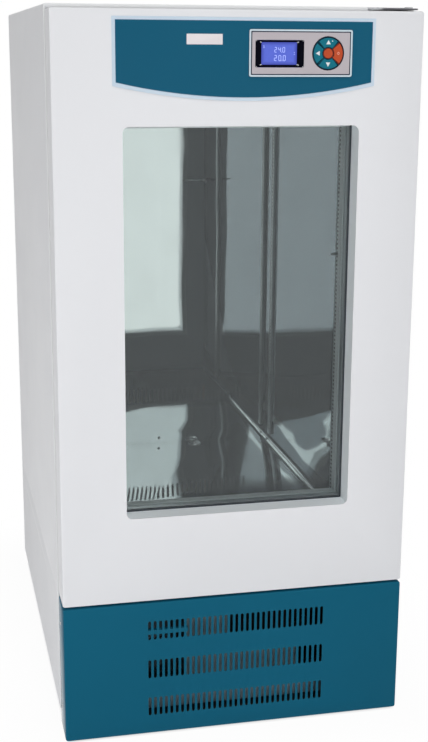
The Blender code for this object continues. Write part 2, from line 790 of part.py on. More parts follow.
def drain():
    """Flanged spout in the chamber floor, down to just above the drip tray."""
    z = CH_LOW + GAP
    r = DRAIN_R
    low = FLOOR + TRAY_H + SPOUT_UP
    profile = [(r - 0.002, low), (r, low), (r, z), (r + 0.011, z), (r + 0.010, z + 0.003),
               (r - 0.001, z + 0.002), (r - 0.002, z)]
    return finish("drain_fitting", lathe(profile, (DRAIN_X, y_of(DRAIN_AT)), "Z", 16), steel, 0.2, 1.0, True)


# Machine space
def compressor():
    x = COMP_CX
    y = y_of(COMP_AT)
    r = COMP_R
    z0 = COMP_LOW
    z1 = z0 + COMP_H
    seam = z0 + COMP_SEAM
    body = [(0, z0), (r - 0.015, z0), (r, z0 + 0.016), (r, seam), (r + 0.006, seam), (r + 0.006, seam + 0.006),
            (r, seam + 0.006), (r, z1 - 0.039), (r - 0.014, z1 - 0.016), (r - 0.045, z1 - 0.004),
            (0, z1)]
    obj = finish("compressor", lathe(body, (x, y), "Z", 20), (0.025, 0.025, 0.028), 0.35, 0.2)
    plate = box(x - r - 0.015, x + r + 0.015, y - r + 0.010, y + r - 0.010, z0 - 0.004, z0 + 0.002)
    combine(obj, plate, "UNION")
    legs = []
    for sx in (-1, 1):
        for sy in (-1, 1):
            spot = (x + sx * (r - 0.005), y + sy * (r - 0.028))
            legs.append(prism([circle(*spot, 0.014, 12)], FLOOR, z0 - 0.002, "Z"))
    combine(obj, many(legs), "UNION")
    combine(obj, box(x - 0.035, x + 0.035, y + r - 0.020, y + r + 0.032, seam, seam + 0.065), "UNION")
    return obj


def condenser():
    back = y_of(COND_AT + COND_T)
    outline = comb(COND_X0, COND_X1, back, y_of(COND_AT), 0.016, 0.0140)
    bm = prism([outline], FLOOR + 0.0567, SHROUD_TOP, "Z")
    obj = finish("condenser", bm, (0.05, 0.05, 0.055), 0.45, 0.4)
    legs = []
    for x in (COND_X0 + 0.010, COND_X1 - 0.028):
        legs.append(box(x, x + 0.018, back - 0.015, back - 0.001, FLOOR, FLOOR + 0.0587))
    combine(obj, many(legs), "UNION")
    return obj


def fan_shroud():
    """Plate behind the condenser with a ring for the fan."""
    y0 = y_of(SHROUD_AT)
    r = COOL_R + 0.008
    loops = [rect(COND_X0, COND_X1, FLOOR, SHROUD_TOP), circle(COOL_X, COOL_Z, r, 24)]
    obj = finish("fan_shroud", prism(loops, y0, y0 + SHROUD_T), zinc, 0.4, 0.9)
    ring = [circle(COOL_X, COOL_Z, r + 0.002, 24), circle(COOL_X, COOL_Z, r, 24)]
    combine(obj, prism(ring, y0, y0 + 0.030), "UNION")
    return obj


def cooling_fan():
    tip = y_of(SHROUD_AT + 0.0105)
    fan_y = tip + 0.003
    y0 = fan_y + COOL_DEEP + 0.011
    y1 = y0 + COOL_MOTOR_L
    r = COOL_MOTOR_R
    profile = [(0, tip), (SHAFT_R, tip), (SHAFT_R, y0), (r - 0.004, y0), (r, y0 + 0.004), (r, y1), (0, y1)]
    obj = finish("cooling_motor", lathe(profile, (COOL_X, COOL_Z), "Y", 20), (0.12, 0.12, 0.13), 0.5, 0.3)
    mid = (y0 + y1) / 2
    post = box(COOL_X - 0.012, COOL_X + 0.012, mid - 0.005, mid + 0.005, FLOOR + 0.001, COOL_Z - r / 2)
    combine(obj, post, "UNION")
    combine(obj, box(COOL_X - 0.030, COOL_X + 0.030, mid - 0.020, mid + 0.020, FLOOR, FLOOR + 0.003), "UNION")
    fan("cooling_fan", COOL_X, COOL_Z, fan_y, COOL_DEEP, COOL_HUB, COOL_R)


def drip_tray():
    """Catches what the drain lets out."""
    x = DRAIN_X - 0.015
    depth = DRAIN_AT - 0.020
    return tray("drip_tray", x - TRAY_W / 2, x + TRAY_W / 2, depth - TRAY_D / 2, depth + TRAY_D / 2, FLOOR,
                FLOOR + TRAY_H, 0.0015, (0.55, 0.56, 0.57), 0.8)


def electrical_box():
    """Box for relays and terminals, with an overlapping lid."""
    x0 = -WIDTH / 2 + 0.0575
    y1 = y_of(DRAIN_AT - 0.020)
    y0 = y1 - EBOX_D
    top = FLOOR + EBOX_H
    obj = finish("electrical_box", box(x0, x0 + EBOX_W, y0, y1, FLOOR, top), (0.55, 0.56, 0.58), 0.5)
    lid = box(x0 - 0.004, x0 + EBOX_W + 0.004, y0 - 0.004, y1 + 0.004, top - 0.015, top + 0.003)
    combine(obj, lid, "UNION")
    return obj


def pipes():
    """Suction line from the evaporator and discharge line to the condenser."""
    x = COMP_CX
    y = y_of(COMP_AT)
    top = COMP_LOW + COMP_H
    back = y_of(LINE_AT)
    turn = y_of(FRONT_T + LINE_TURN)
    sx = x - STUB_X
    sy = y + STUB_Y
    cold = [(sx, sy, top - 0.0035), (sx, sy, LINE_Z), (sx, turn, LINE_Z), (LINE_X, turn, LINE_Z),
            (LINE_X, back, LINE_Z), (LINE_X, back, EVAP_LOW - GAP)]
    finish("suction_line", tube(bend(cold, 0.025), LINE_R), copper, 0.3, 1.0, True)
    side = y_of(COND_AT + HOT_IN)
    hx = x + HOT_IN
    hy = y - HOT_IN
    hot = [(hx, hy, top - 0.0032), (hx, hy, LINE_Z), (hx, side, LINE_Z), (COND_X0 - 0.0005, side, LINE_Z)]
    finish("discharge_line", tube(bend(hot, 0.018), HOT_R), copper, 0.3, 1.0, True)


# Lower cover
def lower_cover():
    y0 = y_of(0)
    y1 = y_of(FRONT_T - GAP)
    out = (-HALF, HALF, COVER_LOW, COVER_TOP)
    bm = bevel_front(prism([rounded(out, PANEL_R)], y0, y1), y0, PANEL_EDGE)
    obj = finish("lower_cover", bm, teal, 0.35)
    combine(obj, prism([rounded(grown(out, -SHEET), PANEL_R - SHEET)], y0 + SHEET, y1 + 0.01))
    slots = []
    for drop in SLOT_ROWS:
        for i in range(SLOT_N):
            xc = SLOT_X + (i - (SLOT_N - 1) / 2) * SLOT_PITCH
            slots.append(prism([stadium(xc, COVER_TOP - drop, SLOT_W, SLOT_H)], y0 - 0.01, y0 + 0.01))
    combine(obj, many(slots))
    # the top is cut back for the hinge bracket, the bottom is open for air
    combine(obj, box(-HALF + 0.016, HALF - 0.004, y_of(FRONT_T - 0.030), y1 + 0.01, COVER_TOP - 0.003,
                     COVER_TOP + 0.01))
    combine(obj, box(-HALF + 0.016, HALF - 0.016, y_of(FRONT_T - 0.050), y1 + 0.01, 0, COVER_LOW + 0.003))
    # stiffening rail behind the first slots of the top row
    left = SLOT_X - SLOT_PITCH * (SLOT_N - 1) / 2
    top = COVER_TOP - SLOT_ROWS[0] - 0.0005
    rail = box(left - 0.157, left + SLOT_PITCH * 7, y0 + SHEET / 2, y0 + 0.014, top - 0.0095, top)
    combine(obj, rail, "UNION")
    return obj


# Hinges
def hinges():
    ax = HINGE_X
    ay = y_of(HINGE_AT)
    plate = hinge_outline()
    bore = PIN_R + GAP
    finish("hinge_plate_top", prism([rounded(plate, 0.010, 3), circle(ax, ay, bore, 20)], HINGE_Z,
                                    HINGE_Z + PLATE_T, "Z"), zinc, 0.3, 1.0)
    z = HINGE_Z + PLATE_T + GAP
    end = HINGE_Z - PIN_LONG
    head = [(0, end), (PIN_R, end), (PIN_R, z), (HEAD_R, z), (HEAD_R, z + HEAD_T - 0.0006),
            (HEAD_R - 0.0008, z + HEAD_T), (0, z + HEAD_T)]
    finish("hinge_pin_top", lathe(head, (ax, ay), "Z", 20), steel, 0.25, 1.0)
    z = DOOR_TOP + GAP
    low = DOOR_TOP - BUSH_LONG
    top = [(bore, low), (BUSH_R, low), (BUSH_R, z), (LIP_R, z), (LIP_R, z + LIP_T), (bore, z + LIP_T)]
    finish("hinge_bush_top", lathe(top, (ax, ay), "Z", 16), (0.75, 0.75, 0.72), 0.5)
    z = DOOR_LOW - GAP
    high = DOOR_LOW + BUSH_LONG
    low = [(bore, z - LIP_T), (LIP_R, z - LIP_T), (LIP_R, z), (BUSH_R, z), (BUSH_R, high), (bore, high)]
    finish("hinge_bush_bottom", lathe(low, (ax, ay), "Z", 16), (0.75, 0.75, 0.72), 0.5)
    wall = y_of(FRONT_T - GAP)
    tongue = rounded((plate[0], plate[1], plate[2], wall), 0.006, 3)
    obj = finish("hinge_bracket_bottom", prism([tongue], TONGUE_Z, TONGUE_Z + SHEET, "Z"), zinc, 0.3, 1.0)
    z = TONGUE_Z + SHEET / 2
    leg = box(plate[0] + 0.007, plate[1] - 0.007, wall - 0.0024, wall, COVER_TOP - 0.0475, z)
    combine(obj, leg, "UNION")
    tip = TONGUE_Z + PIN_LONG
    profile = [(0, z), (PIN_R, z), (PIN_R, tip), (PIN_R - 0.001, tip + 0.001), (0, tip + 0.001)]
    combine(obj, lathe(profile, (ax, ay), "Z", 20), "UNION")


def bush_wells(r, deep):
    """Room for the two hinge bushes, to a given depth from the door's ends."""
    spot = circle(HINGE_X, y_of(HINGE_AT), r, 20)
    low = prism([spot], DOOR_LOW - 0.01, DOOR_LOW + deep, "Z")
    top = prism([spot], DOOR_TOP - deep, DOOR_TOP + 0.01, "Z")
    return many([low, top])


# Door
def module_hole(by, y0, y1):
    """Opening for the body of the control panel."""
    x0, x1, z0, z1 = grown(BEZEL, by - BODY_IN)
    return box(x0, x1, y0, y1, z0, z1)


def door_outline(by):
    return grown((-HALF, HALF, DOOR_LOW, DOOR_TOP), by)


def door_skin():
    y0 = y_of(0)
    y1 = y_of(DOOR_T)
    bm = bevel_front(prism([rounded(door_outline(0), PANEL_R)], y0, y1), y0, PANEL_EDGE)
    obj = finish("door_skin", bm, white)
    combine(obj, prism([rounded(door_outline(-SHEET), PANEL_R - SHEET)], y0 + SHEET, y1 + 0.01))
    combine(obj, prism([rounded(WIN, WIN_R, 5)], y0 - 0.01, y0 + 0.01))
    combine(obj, module_hole(GAP, y0 - 0.01, y0 + 0.01))
    combine(obj, bush_wells(BUSH_R + GAP, 0.01))
    return obj


def plug_outline(by):
    """Raised middle of the inner pan, a little smaller than the chamber mouth."""
    return grown((-CH_HALF, CH_HALF, CH_LOW, CH_TOP), by - PLUG_IN)


def door_insulation():
    out = door_outline(-SHEET - GAP)
    y0 = y_of(SHEET + GAP)
    hole = rect(*grown(WIN, FRAME_WALL + GAP))
    flat = prism([rounded(out, PANEL_R - SHEET), hole], y0, y_of(PAN_AT - GAP))
    obj = finish("door_insulation", flat, foam, 0.9)
    plug = prism([rect(*plug_outline(-0.0025)), hole], y_of(PAN_AT - 0.001), y_of(PLUG_AT - PAN_T - GAP))
    combine(obj, plug, "UNION")
    combine(obj, module_hole(0.003, y0 - 0.01, y_of(BODY_D + 0.020)))
    combine(obj, bush_wells(BUSH_R + 0.0045, BUSH_LONG + 0.0025))
    return obj


def door_liner():
    """Formed inner pan with a raised middle that enters the chamber mouth."""
    out = door_outline(-SHEET - GAP)
    hole = rect(*grown(WIN, FRAME_WALL + GAP))
    flat = prism([rounded(out, PANEL_R - SHEET), hole], y_of(PAN_AT), y_of(PAN_AT + PAN_T))
    obj = finish("door_liner", flat, white, 0.3)
    rise = prism([rounded(plug_outline(0), 0.010, 3), hole], y_of(PAN_AT + 0.0005), y_of(PLUG_AT))
    combine(obj, rise, "UNION")
    y0 = y_of(PAN_AT - 0.001)
    y1 = y_of(PLUG_AT - PAN_T)
    combine(obj, prism([rect(*plug_outline(-PAN_T))], y0, y1))
    return obj


def door_gasket():
    """Seal between the inner pan and the cabinet front."""
    y0 = y_of(PAN_AT + PAN_T + GAP)
    y1 = y_of(FRONT_T - GAP)
    out = door_outline(-SEAL_IN)
    loops = [rounded(out, 0.010, 3), rounded(grown(out, -SEAL_W), 0.006, 3)]
    return finish("door_gasket", prism(loops, y0, y1), (0.62, 0.63, 0.64), 0.7)


def glazing():
    """Window frame, sealed double glass with its spacer, and the bead that holds it."""
    rebate = grown(WIN, REBATE)
    frame = prism([rect(*grown(WIN, FRAME_WALL)), rect(*WIN)], y_of(SHEET + GAP), y_of(PLUG_AT - GAP))
    obj = finish("window_frame", frame, frost, 0.35)
    combine(obj, box(rebate[0], rebate[1], y_of(JAMB), y_of(PLUG_AT + 0.01), rebate[2], rebate[3]))
    pane = grown(rebate, -GAP)
    y = y_of(JAMB) + GAP
    finish("glass_outer", box(pane[0], pane[1], y, y + GLASS_T, pane[2], pane[3]), (0.85, 0.92, 0.92), 0.03)
    y += GLASS_T + GAP
    ring = [rect(*pane), rect(*grown(pane, -SPACER_W))]
    finish("glass_spacer", prism(ring, y, y + SPACER_T), (0.55, 0.56, 0.58), 0.4, 0.8)
    y += SPACER_T + GAP
    finish("glass_inner", box(pane[0], pane[1], y, y + GLASS_T, pane[2], pane[3]), (0.85, 0.92, 0.92), 0.03)
    y += GLASS_T + GAP
    ring = [rect(*pane), rect(*grown(pane, -BEAD_W))]
    finish("glazing_bead", prism(ring, y, y_of(PLUG_AT - GAP * 2)), frost, 0.35)


# Name plate and control panel
def plate_outline(by):
    """Flat top, straight sides, bottom edge a shallow arc."""
    x0, x1, z0, z1 = grown(PLATE, by)
    mid = (x0 + x1) / 2
    half = (x1 - x0) / 2
    r = (half * half + PLATE_SAG * PLATE_SAG) / (2 * PLATE_SAG)
    zc = z0 - PLATE_SAG + r
    out = [(x1, z1), (x0, z1)]
    for i in range(21):
        x = x0 + (x1 - x0) * i / 20
        out.append((x, zc - math.sqrt(r * r - (x - mid) ** 2)))
    return out


def nameplate():
    """Plate with a pale border and a raised field, unlettered."""
    obj = finish("nameplate", prism([plate_outline(BORDER)], y_of(-FILM_OUT), y_of(-GAP)), teal, 0.3)
    combine(obj, prism([plate_outline(0)], y_of(-FIELD_OUT), y_of(-FILM_OUT / 2)), "UNION")
    combine(obj, module_hole(GAP, y_of(-0.01), y_of(0.01)))
    return obj


def control_bezel():
    """Flange in front of the plate and a body that reaches into the door."""
    flange = [rounded(BEZEL, 0.004, 3), clipped(grown(LENS, GAP), LENS_CLIP),
              circle(PAD_X, PAD_Z, PAD_R + GAP, 28)]
    bm = prism(flange, y_of(-BEZEL_OUT), y_of(-FIELD_OUT - GAP))
    obj = finish("control_bezel", bm, (0.72, 0.68, 0.70), 0.45)
    body = grown(BEZEL, -BODY_IN)
    wall = [rect(*body), rect(*grown(body, -SHEET))]
    combine(obj, prism(wall, y_of(-FIELD_OUT - 0.0009), y_of(BODY_D)), "UNION")
    return obj


def display():
    frame = prism([clipped(LENS, LENS_CLIP), rect(*LCD)], y_of(-LENS_OUT), y_of(-0.0012))
    finish("lcd_frame", frame, black, 0.25)
    wide = grown(LCD, 0.006)
    finish("lcd_screen", box(wide[0], wide[1], y_of(-0.0012 + GAP), y_of(0.0030), wide[2], wide[3]),
           (0.10, 0.18, 0.66), 0.2)


def key_spots():
    """Name, stem place and outline of each key."""
    mid = (OK_R + PAD_R - PAD_RIM) / 2
    out = []
    for name, a in (("right", 0), ("up", 90), ("left", 180), ("down", 270)):
        t = math.radians(a)
        spot = (PAD_X + mid * math.cos(t), PAD_Z + mid * math.sin(t))
        trim = math.degrees(KEY_SPLIT / mid)
        r0 = OK_R + KEY_SPLIT + 0.0001
        r1 = PAD_R - PAD_RIM - GAP
        out.append((name, spot, sector(PAD_X, PAD_Z, r0, r1, a - 45 + trim, a + 45 - trim, 8)))
    out.append(("centre", (PAD_X, PAD_Z), circle(PAD_X, PAD_Z, OK_R, 24)))
    return out


def key_pad():
    """Round pad: a cup with a floor, and five keys whose stems pass through the floor."""
    loops = [circle(PAD_X, PAD_Z, PAD_R, 28)]
    for _, spot, _ in key_spots():
        loops.append(circle(spot[0], spot[1], STEM_R + 0.0004, 8))
    floor = -CUP_OUT
    obj = finish("key_pad_base", prism(loops, y_of(floor), y_of(floor + 0.0026)), black, 0.4)
    rim = [circle(PAD_X, PAD_Z, PAD_R, 28), circle(PAD_X, PAD_Z, PAD_R - PAD_RIM, 28)]
    combine(obj, prism(rim, y_of(-RIM_OUT), y_of(floor + 0.0005)), "UNION")
    back = floor - KEY_TRAVEL - 0.0008
    end = SWITCH_AT - KEY_TRAVEL - 0.0002
    for name, spot, outline in key_spots():
        colour = (0.62, 0.10, 0.03) if name in ("right", "centre") else (0.02, 0.13, 0.18)
        key = finish("key_%s" % name, prism([outline], y_of(-KEY_OUT), y_of(back)), colour, 0.4)
        combine(key, prism([circle(spot[0], spot[1], STEM_R, 8)], y_of(back - 0.0004), y_of(end)), "UNION")


def control_board():
    """Circuit board behind the panel, with one switch under each key stem."""
    x0, x1, z0, z1 = grown(BEZEL, -BODY_IN - SHEET - 0.0005)
    rear = BOARD_AT + BOARD_T
    obj = finish("control_board", box(x0, x1, y_of(BOARD_AT), y_of(rear), z0, z1), (0.02, 0.16, 0.07), 0.5)
    core = y_of(BOARD_AT + BOARD_T / 2)
    bumps = []
    for _, spot, _ in key_spots():
        bumps.append(prism([circle(spot[0], spot[1], STEM_R + 0.001, 8)], y_of(SWITCH_AT), core))
    # display carrier, transformer and connector
    bumps.append(box(LCD[0], LCD[1], y_of(0.0033), core, LCD[2] + 0.002, LCD[3] - 0.001))
    bumps.append(box(LCD[0] + 0.004, LCD[0] + 0.044, core, y_of(rear + 0.0154), z0 + 0.010, z0 + 0.040))
    bumps.append(box(PAD_X - 0.045, PAD_X + 0.020, core, y_of(rear + 0.0084), z0 + 0.015, z0 + 0.030))
    combine(obj, many(bumps), "UNION")
    return obj


for build in (cabinet_shell, insulation, liner, opening_trim, cross_rail, bulkhead, base_pan, feet,
              back_panel, rear_grille, cable_gland, duct_panel, shelf_standards, evaporator, heater,
              circulation_fan, probe, drain, compressor, condenser, fan_shroud, cooling_fan, drip_tray,
              electrical_box, pipes,
              lower_cover, hinges, door_skin, door_insulation, door_liner, door_gasket, glazing, nameplate,
              control_bezel, display, key_pad, control_board):
    build()
bpy.context.scene.collection.children.link(parts)
bpy.context.scene.collection.children.link(cutters)
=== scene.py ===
import json
import math
import bmesh
import bpy
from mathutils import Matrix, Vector

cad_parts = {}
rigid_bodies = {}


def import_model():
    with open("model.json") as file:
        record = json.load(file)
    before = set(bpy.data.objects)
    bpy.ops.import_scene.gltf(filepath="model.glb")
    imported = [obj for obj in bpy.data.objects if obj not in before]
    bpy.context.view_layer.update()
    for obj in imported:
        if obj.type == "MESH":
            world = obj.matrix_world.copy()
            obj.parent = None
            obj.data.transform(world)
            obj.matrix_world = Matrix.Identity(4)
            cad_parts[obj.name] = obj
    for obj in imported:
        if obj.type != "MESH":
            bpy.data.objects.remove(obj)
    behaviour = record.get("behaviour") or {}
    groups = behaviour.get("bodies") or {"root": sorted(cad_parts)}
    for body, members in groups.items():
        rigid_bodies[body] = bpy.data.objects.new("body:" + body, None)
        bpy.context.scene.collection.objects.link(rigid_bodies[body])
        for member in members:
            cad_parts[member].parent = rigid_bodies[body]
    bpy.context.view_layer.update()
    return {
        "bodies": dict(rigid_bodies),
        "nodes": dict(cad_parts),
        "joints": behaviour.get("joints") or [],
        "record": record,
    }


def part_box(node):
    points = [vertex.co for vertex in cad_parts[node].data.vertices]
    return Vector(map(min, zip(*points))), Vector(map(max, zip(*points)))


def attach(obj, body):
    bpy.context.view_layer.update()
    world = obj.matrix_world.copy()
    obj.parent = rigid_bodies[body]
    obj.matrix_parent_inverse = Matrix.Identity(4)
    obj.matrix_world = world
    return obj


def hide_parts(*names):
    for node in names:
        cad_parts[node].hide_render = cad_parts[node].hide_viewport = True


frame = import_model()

nodes = frame["nodes"]
print("frame loaded:", len(nodes), "nodes")


# colours are written as they look on screen, 0 to 255
def screen(r, g, b):
    def linear(v):
        v = v / 255
        return v / 12.92 if v <= 0.04045 else ((v + 0.055) / 1.055) ** 2.4

    return (linear(r), linear(g), linear(b), 1.0)


white = (1.0, 1.0, 1.0, 1.0)


# small helpers for node trees
def feed(tree, node, inputs):
    for key, value in inputs.items():
        if isinstance(value, bpy.types.NodeSocket):
            tree.links.new(value, node.inputs[key])
        else:
            node.inputs[key].default_value = value


def addNode(tree, kind, inputs=None, **settings):
    node = tree.nodes.new(kind)
    for key, value in settings.items():
        setattr(node, key, value)
    feed(tree, node, inputs or {})
    return node


def useGroup(tree, group, values):
    return addNode(tree, "ShaderNodeGroup", values, node_tree=group).outputs


def calc(tree, operation, a, *rest):
    # takes the values in from left to right; ABSOLUTE needs only one
    for b in rest or (0.0,):
        a = addNode(tree, "ShaderNodeMath", {0: a, 1: b}, operation=operation).outputs[0]
    return a


def total(tree, start, *weighted):
    # start plus each value times its weight
    for value, weight in weighted:
        start = calc(tree, "ADD", start, calc(tree, "MULTIPLY", value, weight))
    return start


def spread(tree, value, low, high, toLow=0.0, toHigh=1.0):
    inputs = {0: value, 1: low, 2: high, 3: toLow, 4: toHigh}
    return addNode(tree, "ShaderNodeMapRange", inputs, clamp=True).outputs[0]


def blend(tree, factor, a, b):
    return addNode(tree, "ShaderNodeMix", {0: factor, 6: a, 7: b}, data_type="RGBA").outputs[2]


def scaled(tree, colour, factor):
    return addNode(tree, "ShaderNodeVectorMath", {0: colour, "Scale": factor}, operation="SCALE").outputs[0]


def noise(tree, place, scale, detail, rough=0.5):
    inputs = {"Vector": place, "Scale": scale, "Detail": detail, "Roughness": rough}
    return addNode(tree, "ShaderNodeTexNoise", inputs).outputs


def bump(tree, height, distance, under=None):
    inputs = {"Height": height, "Distance": distance, **({"Normal": under} if under is not None else {})}
    return addNode(tree, "ShaderNodeBump", inputs).outputs[0]


def placeOn(tree):
    return addNode(tree, "ShaderNodeTexCoord").outputs["Object"]


def facing(tree):
    return addNode(tree, "ShaderNodeNewGeometry").outputs["Normal"]


def split(tree, vector):
    return addNode(tree, "ShaderNodeSeparateXYZ", {0: vector}).outputs


def newGroup(name, inputs, outputs):
    group = bpy.data.node_groups.new(name, "ShaderNodeTree")
    for label, value in inputs.items():
        kind = "NodeSocketColor" if isinstance(value, tuple) else "NodeSocketFloat"
        group.interface.new_socket(name=label, in_out="INPUT", socket_type=kind).default_value = value
    for label, kind in outputs.items():
        group.interface.new_socket(name=label, in_out="OUTPUT", socket_type="NodeSocket" + kind)
    return group, group.nodes.new("NodeGroupInput").outputs, group.nodes.new("NodeGroupOutput")


# effects shared by the materials
def buildPaintFilm():
    # stoved powder paint or moulded plastic: fine orange peel, slow drift of tone and gloss
    group, start, end = newGroup(
        "paintFilm",
        {"Colour": (0.8, 0.8, 0.8, 1.0), "Drift": 0.03, "Peel Size": 0.0024, "Peel Height": 0.00003,
         "Gloss": 0.38, "Gloss Drift": 0.08},
        {"Colour": "Color", "Roughness": "Float", "Normal": "Vector"})
    place = placeOn(group)
    slow = spread(group, noise(group, place, 2.6, 3.0)[0], 0.3, 0.7, -1.0, 1.0)
    tone = calc(group, "ADD", calc(group, "MULTIPLY", slow, start["Drift"]), 1.0)
    fine = calc(group, "DIVIDE", 1.0, start["Peel Size"])
    rub = spread(group, noise(group, place, 11.0, 5.0, 0.6)[0], 0.35, 0.7, -0.5, 1.0)
    feed(group, end, {"Colour": scaled(group, start["Colour"], tone),
                      "Roughness": total(group, start["Gloss"], (rub, start["Gloss Drift"])),
                      "Normal": bump(group, noise(group, place, fine, 2.0)[0], start["Peel Height"])})
    return group


def buildSheetMetal():
    # rolled sheet: slow waves left by bending, fine grain along one direction, light smudges
    group, start, end = newGroup(
        "sheetMetal",
        {"Colour": (0.7, 0.7, 0.7, 1.0), "Wave Size": 0.2, "Wave Height": 0.0004, "Grain": 0.00001,
         "Gloss": 0.08, "Smudge": 0.05},
        {"Colour": "Color", "Roughness": "Float", "Normal": "Vector"})
    place = placeOn(group)
    slow = calc(group, "DIVIDE", 1.0, start["Wave Size"])
    swell = bump(group, noise(group, place, slow, 1.0, 0.3)[0], start["Wave Height"])
    along = addNode(group, "ShaderNodeMapping", {"Vector": place, "Scale": (900.0, 900.0, 12.0)}).outputs[0]
    touch = spread(group, noise(group, place, 7.0, 6.0, 0.65)[0], 0.48, 0.74)
    smudge = calc(group, "MULTIPLY", touch, start["Smudge"])
    feed(group, end, {"Colour": scaled(group, start["Colour"], calc(group, "SUBTRACT", 1.0, smudge)),
                      "Roughness": calc(group, "ADD", smudge, start["Gloss"]),
                      "Normal": bump(group, noise(group, along, 1.0, 2.0)[0], start["Grain"], swell)})
    return group


def buildDustFall():
    # thin dust on what faces up, broken up by noise
    group, start, end = newGroup(
        "dustFall", {"Colour": (0.5, 0.5, 0.5, 1.0), "Dust": screen(176, 170, 160), "Amount": 0.3},
        {"Colour": "Color"})
    up = spread(group, split(group, facing(group))[2], 0.5, 0.98)
    speck = spread(group, noise(group, placeOn(group), 60.0, 6.0, 0.7)[0], 0.3, 0.75)
    mask = calc(group, "MULTIPLY", up, speck, start["Amount"])
    feed(group, end, {"Colour": blend(group, mask, start["Colour"], start["Dust"])})
    return group


def buildEdgeWearAndHighlight():
    # marks the edges, broken up by noise; on the teal paint the lightened edges are partly wear and partly a
    # painted highlight
    group, start, end = newGroup("edgeWearAndHighlight", {"Width": 0.0012, "Break Up": 0.6}, {"Mask": "Float"})
    soft = addNode(group, "ShaderNodeBevel", {"Radius": start["Width"]}, samples=4).outputs[0]
    turn = addNode(group, "ShaderNodeVectorMath", {0: soft, 1: facing(group)}, operation="DOT_PRODUCT")
    edge = spread(group, turn.outputs["Value"], 0.99, 0.86)
    keep = spread(group, noise(group, placeOn(group), 35.0, 4.0)[0], 0.35, 0.65)
    kept = total(group, calc(group, "SUBTRACT", 1.0, start["Break Up"]), (keep, start["Break Up"]))
    feed(group, end, {"Mask": calc(group, "MULTIPLY", edge, kept)})
    return group


paintFilm = buildPaintFilm()
sheetMetal = buildSheetMetal()
dustFall = buildDustFall()
edgeWearAndHighlight = buildEdgeWearAndHighlight()
print("effects built")


# helpers for materials
def newMaterial(name, plain):
    mat = bpy.data.materials.new(name)
    mat.use_nodes = True
    skin = mat.node_tree.nodes["Principled BSDF"]
    feed(mat.node_tree, skin, plain)
    return mat, mat.node_tree, skin


def dress(mat, names):
    # puts a material on nodes of the frame
    for name in names:
        nodes[name].data.materials.clear()
        nodes[name].data.materials.append(mat)
    return mat


def toneOf(tree, colour):
    # a colour is three numbers, or a function that builds it in the material
    return colour(tree) if callable(colour) else screen(*colour)


def dusted(tree, tone, amount):
    return useGroup(tree, dustFall, {"Colour": tone, "Amount": amount})["Colour"] if amount else tone


def painted(name, colour, on=(), drift=0.02, peel=0.0024, height=0.00003, gloss=0.5, glossDrift=0.06,
            specular=0.2, line=None, rub=None, dust=0.0, plain=None):
    mat, tree, skin = newMaterial(name, {"Specular IOR Level": specular, **(plain or {})})
    film = useGroup(tree, paintFilm, {"Colour": toneOf(tree, colour), "Drift": drift, "Peel Size": peel,
                                      "Peel Height": height, "Gloss": gloss, "Gloss Drift": glossDrift})
    tone, normal = film["Colour"], film["Normal"]
    if line:
        tone, normal = pressedLine(tree, tone, normal, line)
    # lightened edges: partly wear, partly painted highlight
    if rub:
        edge = useGroup(tree, edgeWearAndHighlight, {"Width": rub["width"], "Break Up": rub["breakUp"]})["Mask"]
        tone = blend(tree, calc(tree, "MULTIPLY", edge, rub["share"]), tone, screen(*rub["colour"]))
    feed(tree, skin, {"Base Color": dusted(tree, tone, dust), "Roughness": film["Roughness"], "Normal": normal})
    return dress(mat, on)


def metal(name, colour, on=(), waveSize=0.02, wave=0.00002, grain=0.00001, gloss=0.3, smudge=0.06, dust=0.0):
    mat, tree, skin = newMaterial(name, {"Metallic": 1.0})
    sheet = useGroup(tree, sheetMetal, {"Colour": toneOf(tree, colour), "Wave Size": waveSize, "Wave Height": wave,
                                        "Grain": grain, "Gloss": gloss, "Smudge": smudge})
    feed(tree, skin, {"Base Color": dusted(tree, sheet["Colour"], dust), "Roughness": sheet["Roughness"],
                      "Normal": sheet["Normal"]})
    return dress(mat, on)


# pressed line along both sides of the cabinet, with a painted highlight along it
shellLine = {
    "at": 0.2975,  # its height
    "half": 0.0028,
    "ends": (-0.24, 0.46),  # front and back
    "fades": (0.12, 0.10),  # over these lengths at its ends
    # colour of the painted highlight along the line
    "colour": (250, 251, 252),
    "height": 0.0006,
}


def pressedLine(tree, tone, normal, look):
    spot = split(tree, placeOn(tree))
    away = calc(tree, "ABSOLUTE", calc(tree, "SUBTRACT", spot[2], look["at"]))
    front, back = look["ends"]
    ends = calc(tree, "MULTIPLY", spread(tree, spot[1], front, front + look["fades"][0]),
                spread(tree, spot[1], back, back - look["fades"][1]))
    sides = spread(tree, calc(tree, "ABSOLUTE", split(tree, facing(tree))[0]), 0.6, 0.9)
    mask = calc(tree, "MULTIPLY", spread(tree, away, look["half"], 0.0), ends, sides)
    # paints the highlight along the line and bumps it
    return blend(tree, mask, tone, screen(*look["colour"])), bump(tree, mask, look["height"], normal)


# polished chamber sheet, with a painted reflection low on the right wall: a bright rim around a patch that keeps
# the plain tone
steel = {
    "panel": (216, 221, 222),  # false back wall and floor
    "sides": (138, 143, 149),  # side walls, painted darker as shade
    "floorShade": (58, 60, 62),  # right half of the floor, painted darker as shade
    "floorAcross": (0.0, 0.10),  # it comes in over these x
    "floorAlong": (0.08, 0.0),  # and these y
    "edgeTint": (0.62, 0.64, 0.66, 1.0),
    # colour of the painted reflection
    "bright": (252, 254, 254),
    "wall": (0.333, 0.3345),  # x where the right wall's face begins
    "patchAt": 0.540,
    "patchReach": (0.148, 0.044),  # along y and z
    "patchBlur": (0.85, 1.25),
    "lean": 0.30,
    "rimLow": (0.449, 0.15),  # level and curve along y
    "rimHigh": (0.548, -0.42, 0.75),  # level, slope and curve along y
    "lowBlur": (-0.001, 0.005),
    "highBlur": (-0.004, 0.010),
    "wander": 0.022,  # how far the rim strays
}


